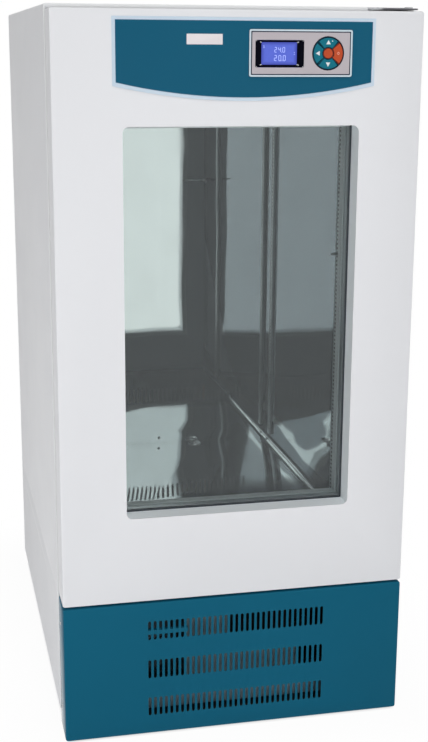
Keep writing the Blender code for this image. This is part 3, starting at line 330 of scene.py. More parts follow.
def steelTone(tree):
    look = steel
    place, turn = placeOn(tree), split(tree, facing(tree))
    spot = split(tree, place)
    stray = split(tree, noise(tree, place, 7.0, 1.0)["Color"])
    y, z = [total(tree, spot[k], (calc(tree, "SUBTRACT", stray[k], 0.5), look["wander"])) for k in (1, 2)]
    squared = calc(tree, "MULTIPLY", y, y)
    level, slope, curve = look["rimHigh"]
    below = calc(tree, "SUBTRACT", total(tree, level, (y, slope), (squared, curve)), z)
    level, curve = look["rimLow"]
    above = calc(tree, "SUBTRACT", z, total(tree, level, (squared, curve)))
    rise = calc(tree, "SUBTRACT", total(tree, z, (y, look["lean"])), look["patchAt"])
    rise = calc(tree, "DIVIDE", rise, look["patchReach"][1])
    along = calc(tree, "DIVIDE", y, look["patchReach"][0])
    outside = total(tree, calc(tree, "MULTIPLY", rise, rise), (along, along))
    # painted reflection: on the right wall's rim the sheet turns the bright colour and its edge tint turns white
    paintedReflection = calc(tree, "MULTIPLY", spread(tree, spot[0], *look["wall"]), spread(tree, below, *look["highBlur"]),
                 spread(tree, outside, *look["patchBlur"]), spread(tree, above, *look["lowBlur"]))
    tint = tree.nodes["Principled BSDF"].inputs["Specular Tint"]
    tint.default_value = look["edgeTint"]
    tree.links.new(blend(tree, paintedReflection, look["edgeTint"], white), tint)
    # side walls painted darker as shade
    sideways = spread(tree, calc(tree, "ABSOLUTE", turn[0]), 0.82, 0.96)
    tone = blend(tree, sideways, screen(*look["panel"]), screen(*look["sides"]))
    tone = blend(tree, paintedReflection, tone, screen(*look["bright"]))
    # painted shade on the right half of the floor
    shadedFloor = calc(tree, "MULTIPLY", spread(tree, turn[2], 0.7, 0.9), spread(tree, spot[0], *look["floorAcross"]),
                   spread(tree, spot[1], *look["floorAlong"]))
    return blend(tree, shadedFloor, tone, screen(*look["floorShade"]))


# top hinge plate: a painted highlight at its left end, painted shade where the pin sits
hinge = {
    "bright": (226, 228, 230),
    "dark": (104, 104, 108),
    "turns": (0.302, 0.316),  # between these x
}


def hingeTone(tree):
    across = spread(tree, split(tree, placeOn(tree))[0], *hinge["turns"])
    return blend(tree, across, screen(*hinge["bright"]), screen(*hinge["dark"]))


# name field: teal in front of the step, pale border behind it
plate = {
    "field": (19, 88, 115),
    "border": (204, 219, 233),
    "stepAt": -0.5592,
    "stepBlur": 0.0001,
}


def plateTone(tree):
    step, blur = plate["stepAt"], plate["stepBlur"]
    behind = spread(tree, split(tree, placeOn(tree))[1], step - blur, step + blur)
    return blend(tree, behind, screen(*plate["field"]), screen(*plate["border"]))


# every finish with the frame's nodes that it goes on; the rest is for the pieces made below
corners = ("front_left", "front_right", "rear_left", "rear_right")
enamel = dict(colour=(231, 232, 235), drift=0.006, gloss=0.36, specular=0.35, dust=0.10)
paints = {
    "shellPaint": dict(enamel, on=["cabinet_shell"], line=shellLine),
    "whitePaint": dict(enamel, on=["door_skin", "opening_trim", "cross_rail"]),
    "tealPaint": dict(colour=(18, 93, 119), on=["lower_cover"], gloss=0.42, specular=0.06,
                      # lighter edges: partly wear, partly painted highlight
                      rub={"share": 0.35, "colour": (70, 140, 160), "width": 0.0016, "breakUp": 0.5},
                      plain={"Coat Roughness": 0.22}),
    "platePrint": dict(colour=plateTone, on=["nameplate"], peel=0.0008, height=0.00001, gloss=0.4,
                       glossDrift=0.05, specular=0.12),
    "greyPrimer": dict(colour=(150, 155, 160), on=["cooling_motor"], dust=0.25),
    "foamCream": dict(colour=(222, 208, 168), on=["cabinet_insulation", "door_insulation"], drift=0.08,
                      peel=0.004, height=0.0006, gloss=0.9, specular=0.1),
    "gasketVinyl": dict(colour=(206, 209, 212), on=["door_gasket"], specular=0.3),
    # paler than the door's white: painted light on the window's jambs and sill
    "frameGrey": dict(colour=(244, 250, 253), on=["window_frame", "glazing_bead"], drift=0.01, gloss=0.35,
                      specular=0.35),
    # greyer and bluer than the door's white: painted shade, seen in the chamber's mirror
    "linerPaint": dict(colour=(204, 210, 217), on=["door_liner"], drift=0.01, gloss=0.36, specular=0.35),
    "panGrey": dict(colour=(150, 166, 176), on=["base_pan"], drift=0.05, gloss=0.55, specular=0.15, dust=0.15),
    "blackPlastic": dict(colour=(24, 24, 26), on=["cable_gland", "circulation_fan", "cooling_fan", "fan_shroud"],
                         gloss=0.45, specular=0.3),
    "rubberBlack": dict(colour=(26, 26, 27), on=["foot_" + corner for corner in corners], drift=0.08, peel=0.0015,
                        height=0.0001, gloss=0.75),
    "moduleGrey": dict(colour=(188, 181, 186), on=["control_bezel"], drift=0.012, peel=0.0009, specular=0.25),
    "lensNavy": dict(colour=(4, 5, 16), on=["lcd_frame"], gloss=0.30, glossDrift=0.04, specular=0.03),
    "keyTeal": dict(colour=(24, 112, 130), on=["key_up", "key_left", "key_down"], gloss=0.42, specular=0.12),
    "keyOrange": dict(colour=(190, 80, 48), on=["key_right", "key_centre"], gloss=0.42, specular=0.12),
    "padNavy": dict(colour=(10, 26, 40), on=["key_pad_base"], gloss=0.4, specular=0.05),
    "enamelBlack": dict(colour=(22, 22, 24), on=["condenser"], drift=0.05, gloss=0.28, specular=0.5, dust=0.35),
    "compressorGrey": dict(colour=(98, 112, 122), on=["compressor"], drift=0.05, gloss=0.35, specular=0.4,
                           dust=0.3),
    "boardGreen": dict(colour=(28, 84, 52), on=["control_board"], gloss=0.3, specular=0.4),
    "nylonWhite": dict(colour=(214, 214, 208), on=["hinge_bush_top", "hinge_bush_bottom"], gloss=0.45,
                       specular=0.3),
    # painted shade in the gaps around the keys
    "keyGapShade": dict(colour=(14, 44, 60), gloss=0.45, specular=0.08),
    "keyGapShadeRed": dict(colour=(78, 36, 36), gloss=0.45, specular=0.08),
    "markWhite": dict(colour=(226, 232, 234)),
    "markRose": dict(colour=(236, 170, 150)),
    "digitPale": dict(colour=(160, 172, 236), gloss=0.4,
                      plain={"Emission Color": screen(160, 176, 244), "Emission Strength": 0.35}),
    "labelWhite": dict(colour=(232, 226, 228)),
    "rimPale": dict(colour=(204, 222, 230), gloss=0.35, specular=0.3),
    # pale lines on the display frame's mitres: painted highlights
    "mitrePale": dict(colour=(206, 210, 214), gloss=0.4, specular=0.3),
    "grooveGrey": dict(colour=(44, 52, 70), specular=0.05),
    "sealBlack": dict(colour=(62, 68, 74), gloss=0.6),
    # painted shade: screw recesses and the sheet behind the standards' holes
    "recessShade": dict(colour=(38, 40, 42)),
    # pale, half-metal bead that shows as a bright line from every side: a painted highlight
    "brightBead": dict(colour=(250, 251, 252), gloss=0.16, specular=0.6, plain={"Metallic": 0.45}),
    # paler and glossier than the cabinet's white: a painted highlight on the rolled front edge
    "edgePaint": dict(colour=(250, 251, 252), gloss=0.14, glossDrift=0.03, specular=0.9),
    "relayGrey": dict(colour=(150, 168, 176), drift=0.04, dust=0.1),
}
metals = {
    "mirrorSteel": dict(colour=steelTone, on=["chamber_liner", "duct_panel"], waveSize=0.17, wave=0.0005,
                        grain=0.0, gloss=0.025, smudge=0.05),
    "satinSteel": dict(colour=(196, 198, 200), on=["temperature_probe", "hinge_pin_top", "hinge_bracket_bottom",
                                                   "circulation_motor", "heater", "drain_fitting"]
                       + ["shelf_standard_" + corner for corner in corners],
                       waveSize=0.05, wave=0.00003, grain=0.00004, gloss=0.26),
    "zincPlate": dict(colour=(186, 190, 194), on=["back_panel", "machine_bulkhead", "rear_grille", "drip_tray",
                                                  "electrical_box"],
                      wave=0.00004, gloss=0.36, dust=0.2),
    "spacerAlloy": dict(colour=(200, 203, 206), on=["glass_spacer"], waveSize=0.03, wave=0.00001, grain=0.00003,
                        gloss=0.32),
    "chromeLitAndShaded": dict(colour=hingeTone, on=["hinge_plate_top"], wave=0.00003),
    "copperTube": dict(colour=(214, 142, 104), on=["suction_line", "discharge_line"], gloss=0.24),
    "finAlloy": dict(colour=(190, 193, 196), on=["evaporator"], waveSize=0.01, grain=0.00003),
    "standardSteel": dict(colour=(222, 226, 228), waveSize=0.05, grain=0.00002, gloss=0.40),
    "screwSteel": dict(colour=(176, 180, 184), waveSize=0.004, wave=0.00001, grain=0.00002, gloss=0.28),
}
mats = {name: painted(name, **look) for name, look in paints.items()}
mats.update({name: metal(name, **look) for name, look in metals.items()})

# clear coat on the teal paint, seen only at a low angle
coat = {"blend": 0.5, "comesIn": (0.70, 0.92)}


def lowCoat(mat, look):
    tree = mat.node_tree
    turn = addNode(tree, "ShaderNodeLayerWeight", {"Blend": look["blend"]}).outputs["Facing"]
    feed(tree, tree.nodes["Principled BSDF"], {"Coat Weight": spread(tree, turn, *look["comesIn"])})


glass = {
    "tint": (0.965, 0.99, 0.982, 1.0),
    # blue tint on the glass's reflections: painted shade, cool like the shaded chamber
    "edgeTint": (0.90, 0.96, 1.0, 1.0),
    "bends": 1.345,
}


def clearGlass(look):
    mat = newMaterial("paneGlass", {"Base Color": look["tint"], "Transmission Weight": 1.0, "Roughness": 0.0,
                                    "IOR": look["bends"], "Metallic": 0.0, "Specular Tint": look["edgeTint"]})[0]
    dress(mat, ["glass_outer", "glass_inner"])


display = {
    "lit": (92, 112, 226),
    "edge": (52, 64, 168),
    "unlit": (30, 36, 80),
    "glow": 0.80,
    "centre": (0.0794, 1.5473),
    "half": (0.0350, 0.0196),
    "blur": 0.0040,
}


def displayLight(look):
    # back light, a little weaker towards the edges of the glass
    mat, tree, skin = newMaterial("displayLight", {"Base Color": screen(*look["unlit"]), "Roughness": 0.25,
                                                   "Specular IOR Level": 0.3, "Emission Strength": look["glow"]})
    place = placeOn(tree)
    spot = split(tree, place)
    past = []
    for axis, centre, half in zip((0, 2), look["centre"], look["half"]):
        away = calc(tree, "ABSOLUTE", calc(tree, "SUBTRACT", spot[axis], centre))
        past.append(calc(tree, "DIVIDE", calc(tree, "SUBTRACT", away, half), look["blur"]))
    mask = spread(tree, calc(tree, "MAXIMUM", *past), 1.0, -1.0)
    fleck = spread(tree, noise(tree, place, 160.0, 2.0)[0], 0.2, 0.8, 0.85, 1.0)
    tone = blend(tree, calc(tree, "MULTIPLY", mask, fleck), screen(*look["edge"]), screen(*look["lit"]))
    feed(tree, skin, {"Emission Color": tone})
    dress(mat, ["lcd_screen"])


lowCoat(mats["tealPaint"], coat)
clearGlass(glass)
displayLight(display)
print("finishes given to the frame's nodes")


# rounded shading for the frame's turned and bent nodes
softening = {"mergeWithin": 0.00002, "sharpFrom": 38}


def buildSoftShade(look):
    # joins split corners, then shades smooth except across edges sharper than the angle
    group = bpy.data.node_groups.new("softShade", "GeometryNodeTree")
    for side in ("INPUT", "OUTPUT"):
        group.interface.new_socket(name="Geometry", in_out=side, socket_type="NodeSocketGeometry")
    start = group.nodes.new("NodeGroupInput").outputs[0]
    merged = addNode(group, "GeometryNodeMergeByDistance", {"Geometry": start, "Distance": look["mergeWithin"]})
    smooth = addNode(group, "GeometryNodeSetShadeSmooth", {"Geometry": merged.outputs[0], "Shade Smooth": True})
    angle = addNode(group, "GeometryNodeInputMeshEdgeAngle").outputs[0]
    sharp = addNode(group, "FunctionNodeCompare", {0: angle, 1: math.radians(look["sharpFrom"])}, data_type="FLOAT",
                    operation="GREATER_THAN").outputs[0]
    final = addNode(group, "GeometryNodeSetShadeSmooth", {"Geometry": smooth.outputs[0], "Selection": sharp,
                                                          "Shade Smooth": False}, domain="EDGE")
    feed(group, group.nodes.new("NodeGroupOutput"), {0: final.outputs[0]})
    return group


softShade = buildSoftShade(softening)
for node in nodes.values():
    node.modifiers.new("softShade", "NODES").node_group = softShade


# helpers for new pieces
def link(name, data):
    thing = bpy.data.objects.new(name, data)
    bpy.context.scene.collection.objects.link(thing)
    return thing


def setDown(name, body, bm, *finish, sharpAngle=35):
    # turns a bmesh into a piece that rides on a body
    bmesh.ops.recalc_face_normals(bm, faces=bm.faces)
    mesh = bpy.data.meshes.new(name)
    bm.to_mesh(mesh)
    bm.free()
    for mat in finish:
        mesh.materials.append(mats[mat])
    mesh.shade_smooth()
    mesh.set_sharp_from_angle(angle=math.radians(sharpAngle))
    piece = link(name, mesh)
    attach(piece, body)
    return piece


def ringOf(bm, points):
    return [bm.verts.new(point) for point in points]


def addFace(bm, loop, slot=0):
    bm.faces.new(loop).material_index = slot


def bridge(bm, loops, slot=0):
    # skins each loop to the next one
    for a, b in zip(loops, loops[1:]):
        for i in range(len(a)):
            j = (i + 1) % len(a)
            addFace(bm, (a[i], a[j], b[j], b[i]), slot)


def skinned(bm, loops, slot=0):
    # closed form from loops of points, the first and the last one capped
    rings = [ringOf(bm, points) for points in loops]
    bridge(bm, rings, slot)
    addFace(bm, rings[0], slot)
    addFace(bm, rings[-1], slot)


def skinnedPiece(name, body, loops, mat):
    bm = bmesh.new()
    skinned(bm, loops)
    setDown(name, body, bm, mat)


def arc(cx, cz, radius, first, last, steps):
    turns = [math.radians(first + (last - first) * k / steps) for k in range(steps + 1)]
    return [(cx + radius * math.cos(a), cz + radius * math.sin(a)) for a in turns]


def circle(cx, cz, radius, steps):
    return arc(cx, cz, radius, 0, 360, steps)[:-1]


def sector(cx, cz, r0, r1, half, turn, steps=10):
    # ring sector that points along turn (degrees); half is half its opening
    return (arc(cx, cz, r1, turn - half, turn + half, steps)
            + arc(cx, cz, r0, turn + half, turn - half, steps))


def roundedRect(x0, x1, z0, z1, radius, steps=4):
    middles = ((x1 - radius, z1 - radius), (x0 + radius, z1 - radius), (x0 + radius, z0 + radius),
               (x1 - radius, z0 + radius))
    return [point for k, middle in enumerate(middles)
            for point in arc(*middle, radius, 90 * k, 90 * k + 90, steps)]


def grown(edge, by):
    x0, x1, z0, z1 = edge
    return (x0 - by, x1 + by, z0 - by, z1 + by)


def inset(edge, by, radius, steps=4):
    return roundedRect(*grown(edge, -by), radius, steps)


def clipped(edge, clip):
    x0, x1, z0, z1 = edge
    return [(x1, z0 + clip), (x1, z1 - clip), (x1 - clip, z1), (x0 + clip, z1),
            (x0, z1 - clip), (x0, z0 + clip), (x0 + clip, z0), (x1 - clip, z0)]


def edgeOf(name):
    # a node's outline as seen from the front
    low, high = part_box(name)
    return (low[0], high[0], low[2], high[2])


def nearOf(name):
    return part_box(name)[0][1]


def farOf(name):
    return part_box(name)[1][1]


def facingFront(outline, y):
    return [(x, y, z) for x, z in outline]


def raisedPlate(bm, outline, back, front, edge):
    # flat plate facing the front with a small chamfer; outline is (x, z) points
    cx = sum(x for x, z in outline) / len(outline)
    cz = sum(z for x, z in outline) / len(outline)
    shrink = 1 - edge / max(math.hypot(x - cx, z - cz) for x, z in outline)
    small = [(cx + (x - cx) * shrink, cz + (z - cz) * shrink) for x, z in outline]
    skinned(bm, [facingFront(outline, back), facingFront(outline, front + edge * 0.6), facingFront(small, front)])


def frameRing(bm, sections):
    # closed ring from nested outlines, each (outline, y); the last joins the first
    rings = [ringOf(bm, facingFront(outline, y)) for outline, y in sections]
    bridge(bm, rings + rings[:1])


def band(outer, inner, foot, top):
    # sections of a flat ring that stands from foot to top
    return ((outer, foot), (outer, top), (inner, top), (inner, foot))


def ringPiece(name, body, sections, mat, sharpAngle=35):
    bm = bmesh.new()
    frameRing(bm, sections)
    return setDown(name, body, bm, mat, sharpAngle=sharpAngle)


def turned(bm, profile, centre, axis, steps=20):
    # profile is (radius, height) along the axis, closed at both ends on the axis
    towards = Vector(axis)
    aside = towards.orthogonal().normalized()
    other = towards.cross(aside)
    rings = [ringOf(bm, [Vector(centre) + towards * height + aside * x + other * y
                         for x, y in circle(0, 0, radius, steps)]) for radius, height in profile[1:-1]]
    bridge(bm, rings)
    for height, ring in ((profile[0][1], rings[0]), (profile[-1][1], rings[-1])):
        tip = bm.verts.new(Vector(centre) + towards * height)
        for i in range(steps):
            addFace(bm, (tip, ring[i], ring[(i + 1) % steps]))


def disc(radius, high):
    return ((0, 0), (radius, 0), (radius, high), (0, high))


def slabBox(bm, low, high):
    outline = ((low[0], low[1]), (high[0], low[1]), (high[0], high[1]), (low[0], high[1]))
    skinned(bm, [[(x, y, z) for x, y in outline] for z in (low[2], high[2])])


def crossScrews(name, spots, axis, radius):
    # pan heads with a cross recess, all facing along the axis; the recess is painted dark as shade
    bm = bmesh.new()
    towards = Vector(axis)
    aside = towards.orthogonal().normalized()
    other = towards.cross(aside)
    height = radius * 0.55
    profile = ((0, -0.0004), (radius, -0.0004), (radius, height * 0.35), (radius * 0.9, height * 0.7),
               (radius * 0.62, height * 0.93), (0, height))
    long, thin = radius * 0.52, radius * 0.1  # half sizes of the recess
    for k, spot in enumerate(spots):
        turned(bm, profile, spot, axis, 16)
        tilt = 0.5 + 1.3 * k
        for a in (tilt, tilt + math.pi / 2):
            along = (aside * math.cos(a) + other * math.sin(a)) * long
            across = towards.cross(along).normalized() * thin
            skinned(bm, [[Vector(spot) + towards * h + along * u + across * v
                          for u, v in ((-1, -1), (1, -1), (1, 1), (-1, 1))]
                         for h in (height * 0.5, height + 0.00006)], 1)
    setDown(name, "cabinet", bm, "screwSteel", "recessShade")


# control panel on the door
faceY = nearOf("door_skin")
towardsFront = (0, -1, 0)
panel = {
    "rimSteps": ((0.0002, 0.004), (0.0009, 0.0035), (0.0030, 0.0022), (0.0036, 0.0018)),  # inset, corner
    "lineSteps": ((0.0037, 0.0018), (0.0058, 0.0012)),
    "rimFront": 0.0058,  # in front of the door's face
    "lineFront": 0.00552,
    "sunk": 0.0001,  # foot of the rim and line, into the bezel
    "screen": (0.0408, 0.1180, 1.5243, 1.5703),
    "frameCorner": 0.0012,
    "frameSeat": (0.004, 0.0006),  # reach around the screen, depth of the flange's front
    "frameLand": (0.0003, 0.0008, 0.0004),  # its flat edge: from, to, depth
    "frameLip": (0.0010, 0.0004),  # corner and depth where it meets the screen
    "mitre": (0.0011, 0.00035),  # half width and lift of its pale lines, painted highlights
    "mitreEnds": 0.0005,
    "numbers": (("24.0", 0.0806, 1.5548, 0.0112), ("20.0", 0.0812, 1.5380, 0.0122)),  # text, centre, height
    "inkUnder": 0.00005,
    "digitProud": 0.00012,
    "bars": dict(count=3, left=0.0040, top=0.0075, pitch=0.0022, long=0.0022, longer=0.0007, high=0.0009),
    "dots": dict(count=2, right=0.0055, low=0.0215, pitch=0.0034, radius=0.0009, high=0.00017),
    "markRadius": 0.0222,
    "markSize": 0.0052,
    "markProud": 0.00018,
    "arrow": ((0, 1.0), (-0.95, -0.7), (0.95, -0.7)),
    "arrowDot": (0.0088, 0.0030, 0.0012),  # aside, above, radius
    "ring": (0.0026, 0.0016),
    "ringBar": (0.0004, 0.0005, 0.0036),  # half width, from, to
    "gapShadeWidth": 0.0013,
    "gapShadeProud": 0.00010,
    "keyGap": 0.0008,
    "label": (-0.1184, -0.0424, 1.5647, 1.5860),
    "labelProud": 0.00035,
}


def panelRim(look):
    edge = edgeOf("control_bezel")
    foot, top = nearOf("control_bezel") + look["sunk"], faceY - look["rimFront"]
    outer, crest, inner, last = [inset(edge, by, radius) for by, radius in look["rimSteps"]]
    ringPiece("panel_rim", "door", (
        (outer, foot), (outer, top + 0.0002), (crest, top), (inner, top), (last, foot)), "rimPale")
    outer, inner = [inset(edge, by, radius) for by, radius in look["lineSteps"]]
    ringPiece("panel_line", "door", band(outer, inner, foot, faceY - look["lineFront"]), "grooveGrey")


def displayFrame(look):
    # dark frame that slopes down to the display, pale lines on its mitres as painted highlights
    edge, near, far = edgeOf("lcd_frame"), nearOf("lcd_frame"), farOf("lcd_frame")
    screenEdge, corner = look["screen"], look["frameCorner"]
    reach, flange = look["frameSeat"]
    seat = clipped(grown(screenEdge, reach), corner)
    start, stop, flat = look["frameLand"]
    land = grown(edge, -stop)
    lipCorner, lip = look["frameLip"]
    inner = clipped(screenEdge, lipCorner)
    frame = ringPiece("display_frame", "door", (
        (seat, near + flange), (clipped(edge, corner), near + flange),
        (clipped(grown(edge, -start), corner), near + flat), (clipped(land, corner), near + flat),
        (inner, far - lip), (inner, far), (seat, far)), "lensNavy", sharpAngle=20)
    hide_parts("lcd_frame")
    half, lift = look["mitre"]
    ends = look["mitreEnds"]
    bm = bmesh.new()
    for i, k in ((0, 2), (1, 2), (0, 3), (1, 3)):
        right, up = 1 - 2 * i, 5 - 2 * k  # towards the middle of the screen
        outerEnd = Vector((land[i] + right * corner / 2, near + ends, land[k] + up * corner / 2))
        innerEnd = Vector((screenEdge[i] + right * ends, far - ends, screenEdge[k] + up * ends))
        across = (innerEnd - outerEnd).cross(Vector((0, 1, 0))).normalized() * half
        crest = Vector((0, -lift, 0))
        skinned(bm, [[p - across, p + across, p + across * 0.3 + crest, p - across * 0.3 + crest]
                     for p in (outerEnd, innerEnd)])
    setDown("display_mitres", "door", bm, "mitrePale")


segmentsOf = {"0": "abcdef", "1": "bc", "2": "abged", "3": "abgcd", "4": "fgbc", "5": "afgcd", "6": "afgedc",
              "7": "abc", "8": "abcdefg", "9": "abcdfg"}
segmentAt = {"a": (0, 1, True), "g": (0, 0, True), "d": (0, -1, True), "b": (1, 0.5, False),
             "c": (1, -0.5, False), "f": (-1, 0.5, False), "e": (-1, -0.5, False)}  # x, z, lies flat


def digitBars(bm, text, centreX, centreZ, height, y0, y1):
    # plain seven-segment numbers with a decimal point
    def bar(x, z, halfX, halfZ):
        slabBox(bm, (x - halfX, y0, z - halfZ), (x + halfX, y1, z + halfZ))

    width, pitch, thick = height * 0.52, height * 0.78, height * 0.13
    left = centreX - pitch * (len(text.replace(".", "")) - 1) / 2
    place = 0
    for c in text:
        if c == ".":
            bar(left + pitch * (place - 0.5), centreZ - height / 2 + thick / 2, thick / 2, thick / 2)
            continue
        for key in segmentsOf[c]:
            u, v, flat = segmentAt[key]
            bar(left + pitch * place + u * (width - thick) / 2, centreZ + v * (height - thick) / 2,
                width / 2 - thick * 0.7 if flat else thick / 2, thick / 2 if flat else height / 4 - thick * 0.4)
        place += 1


def displayDigits(look):
    # two numbers, with plain level bars at the left and dots at the right
    front = nearOf("lcd_screen")
    y0, y1 = front + look["inkUnder"], front - look["digitProud"]
    bm = bmesh.new()
    for number in look["numbers"]:
        digitBars(bm, *number, y0, y1)
    x0, x1, z0, z1 = look["screen"]
    bars, dots = look["bars"], look["dots"]
    for k in range(bars["count"]):
        x, z = x0 + bars["left"], z1 - bars["top"] - bars["pitch"] * k
        slabBox(bm, (x, y0, z), (x + bars["long"] + bars["longer"] * k, y1, z + bars["high"]))
    for k in range(dots["count"]):
        spot = (x1 - dots["right"], y0, z0 + dots["low"] + dots["pitch"] * k)
        turned(bm, disc(dots["radius"], dots["high"]), spot, towardsFront, 10)
    setDown("display_digits", "door", bm, "digitPale")


def padMiddle():
    x0, x1, z0, z1 = edgeOf("key_pad_base")
    return (x0 + x1) / 2, (z0 + z1) / 2


def keyMarks(look):
    # arrows on three keys, a dot beside the upper one, and a ring mark on the right key
    padX, padZ = padMiddle()
    reach, size, proud = look["markRadius"], look["markSize"], look["markProud"]
    for key, turn in (("key_up", 0), ("key_left", 90), ("key_down", 180)):
        front = nearOf(key)
        foot = front + look["inkUnder"]
        side, up = math.sin(math.radians(turn)), math.cos(math.radians(turn))
        points = []
        for u, v in look["arrow"]:
            aside, away = u * size, reach + v * size
            points.append((padX + aside * up - away * side, padZ + aside * side + away * up))
        bm = bmesh.new()
        raisedPlate(bm, points, foot, front - proud, 0.00005)
        if key == "key_up":
            aside, above, radius = look["arrowDot"]
            turned(bm, disc(radius, proud), (padX + aside, foot, padZ + reach + above), towardsFront, 10)
        setDown(key + "_mark", key, bm, "markWhite")
    front = nearOf("key_right")
    foot = front + look["inkUnder"]
    cx = padX + reach
    half, low, high = look["ringBar"]
    bm = bmesh.new()
    frameRing(bm, band(*(circle(cx, padZ, radius, 20) for radius in look["ring"]), foot, front - proud))
    slabBox(bm, (cx - half, foot, padZ + low), (cx + half, front - proud - 0.00002, padZ + high))
    setDown("key_right_mark", "key_right", bm, "markRose")


def keyGapShades(look):
    # dark ring around each key: painted shade for the gaps between the keys
    cx, cz = padMiddle()
    left, right = edgeOf("key_centre")[:2]
    centreRadius = (right - left) / 2
    width, gap = look["gapShadeWidth"], look["keyGap"]
    inner, reach = centreRadius + gap, edgeOf("key_up")[3] - cz
    middle = (inner + reach) / 2
    half = 45 - math.degrees(gap / middle)  # half the angle that a key covers
    shapes = {}
    for key, turn in (("key_right", 0), ("key_up", 90), ("key_left", 180), ("key_down", 270)):
        shapes[key] = [sector(cx, cz, inner + 0.0001, reach - 0.0001, half - 0.4, turn),
                       sector(cx, cz, inner + width, reach - width, half - math.degrees(width / middle), turn)]
    shapes["key_centre"] = [circle(cx, cz, centreRadius - by, 32) for by in (0.0001, width)]
    for key, (outside, inside) in shapes.items():
        front = nearOf(key)
        mat = "keyGapShadeRed" if key in ("key_right", "key_centre") else "keyGapShade"
        sections = band(outside, inside, front + look["inkUnder"], front - look["gapShadeProud"])
        ringPiece(key + "_gap_shade", key, sections, mat)


def blankLabel(look):
    front = nearOf("nameplate")
    bm = bmesh.new()
    raisedPlate(bm, roundedRect(*look["label"], 0.0008, 3), front + 0.0001, front - look["labelProud"], 0.0002)
    setDown("blank_label", "door", bm, "labelWhite")


for makePart in (panelRim, displayFrame, displayDigits, keyMarks, keyGapShades, blankLabel):
    makePart(panel)
print("control panel dressed")

# shelf standards inside the chamber, punched from sheet
standard = {
    "pitch": 0.0105,
    "holeHigh": 0.0052,
    "holeWide": 0.0130,
    "plainEnds": 0.020,  # both together
    "sheet": 0.0012,
    "holeShadeAt": 0.0020,  # depth of the dark sheet behind the holes, painted shade seen through them
    "holeShadeThick": 0.001,
}


def punchedStandard(name, look):
    # channel with a row of slots down its face; the open side is against the wall
    low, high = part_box(name)
    inward = 1 if low[0] < 0 else -1  # towards the middle of the chamber
    wall, face = (low[0], high[0]) if inward > 0 else (high[0], low[0])
    middle = (low[1] + high[1]) / 2
    half = (high[1] - low[1]) / 2
    hole = look["holeWide"] / 2
    sheet = look["sheet"]
    count = int((high[2] - low[2] - look["plainEnds"]) / look["pitch"])
    first = (low[2] + high[2]) / 2 - look["pitch"] * (count - 1) / 2
    rims = [first + look["pitch"] * k + side * look["holeHigh"] / 2 for k in range(count) for side in (-1, 1)]
    levels = [low[2], *rims, high[2]]
    bend = face - inward * sheet
    stations = [(wall, -half), (bend, -half), (face, sheet - half), (face, -hole),
                (face, hole), (face, half - sheet), (bend, half), (wall, half)]
    bm = bmesh.new()
    grid = [ringOf(bm, [(x, middle + aside, z) for x, aside in stations]) for z in levels]
    for i in range(len(levels) - 1):
        for j in range(len(stations) - 1):
            if i % 2 == 0 or j != 3:  # the holes are left open
                bm.faces.new((grid[i][j], grid[i][j + 1], grid[i + 1][j + 1], grid[i + 1][j]))
    piece = setDown(name.replace("shelf_standard", "punched_standard"), "cabinet", bm, "standardSteel")
    shell = piece.modifiers.new("sheet", "SOLIDIFY")
    shell.thickness = sheet
    shell.offset = -1.0
    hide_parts(name)
    # dark sheet behind the holes: painted shade
    bm = bmesh.new()
    near, far = sorted(face - inward * depth for depth in (look["holeShadeAt"], look["holeShadeAt"] + look["holeShadeThick"]))
    slabBox(bm, (near, middle - hole - sheet, low[2] + 0.001), (far, middle + hole + sheet, high[2] - 0.001))
    setDown(name.replace("shelf_standard", "standard_web"), "cabinet", bm, "recessShade")


for corner in corners:
    punchedStandard("shelf_standard_" + corner, standard)
print("shelf standards punched")

# window seal around the glass
window = {
    "opening": (-0.2529, 0.2608, 0.5374, 1.3980),  # inner edge of the window frame
    "sealWidth": 0.0030,
    "sealProud": 0.0016,
    "sealSeat": (0.0003, 0.0006),  # off the glass: at the jamb, at the thin edge
}


def glassSeal(look):
    edge, width, proud = look["opening"], look["sealWidth"], look["sealProud"]
    front, (seat, thin) = nearOf("glass_outer"), look["sealSeat"]
    outer = inset(edge, 0.0002, 0.004, 3)
    tip = inset(edge, width, 0.002, 3)
    ringPiece("glass_seal", "door", (
        (outer, front - seat), (outer, front - proud), (inset(edge, width * 0.45, 0.003, 3), front - proud * 0.9),
        (tip, front - thin), (tip, front - seat)), "sealBlack")


# lips on the door gasket
gasket = {
    "lips": ((0.0030, 0.0030), (0.0085, 0.0044)),  # inset and width of each
    # share of that width, corner radius, depth
    "crown": ((0.0, 0.004, 0.0004), (0.3, 0.0038, 0.00005), (0.7, 0.0034, 0.00005), (1.0, 0.003, 0.0004)),
}


def gasketLips(look):
    edge, back = edgeOf("door_gasket"), farOf("door_gasket")
    bm = bmesh.new()
    for at, width in look["lips"]:
        frameRing(bm, [(inset(edge, at + width * share, radius, 3), back - deep)
                       for share, radius, deep in look["crown"]])
    setDown("gasket_lips", "door", bm, "gasketVinyl")


# beads along folds and edges
beads = {
    "seamRadius": 0.0016,  # weld along the chamber's bottom corners
    "seamIn": 0.0059,  # its place in the corner's curve
    "wall": 0.335,  # the chamber's side walls and floor
    "floor": 0.399,
    "edgeWide": 0.0058,  # rolled front edge of the cabinet
    "edgeProud": 0.0030,
    "edgeSunk": 0.0006,
    "edgeCorner": 0.006,
    "edgeHigher": 1.6,  # the edge along the top is this much wider
    "hingeGap": 0.004,
}


def sweptPiece(name, section, stations, mat):
    # section is (u, v) points; each station is a corner point with its u and v directions
    skinnedPiece(name, "cabinet", [[Vector(p) + Vector(u) * a + Vector(v) * b for a, b in section]
                                   for p, u, v in stations], mat)


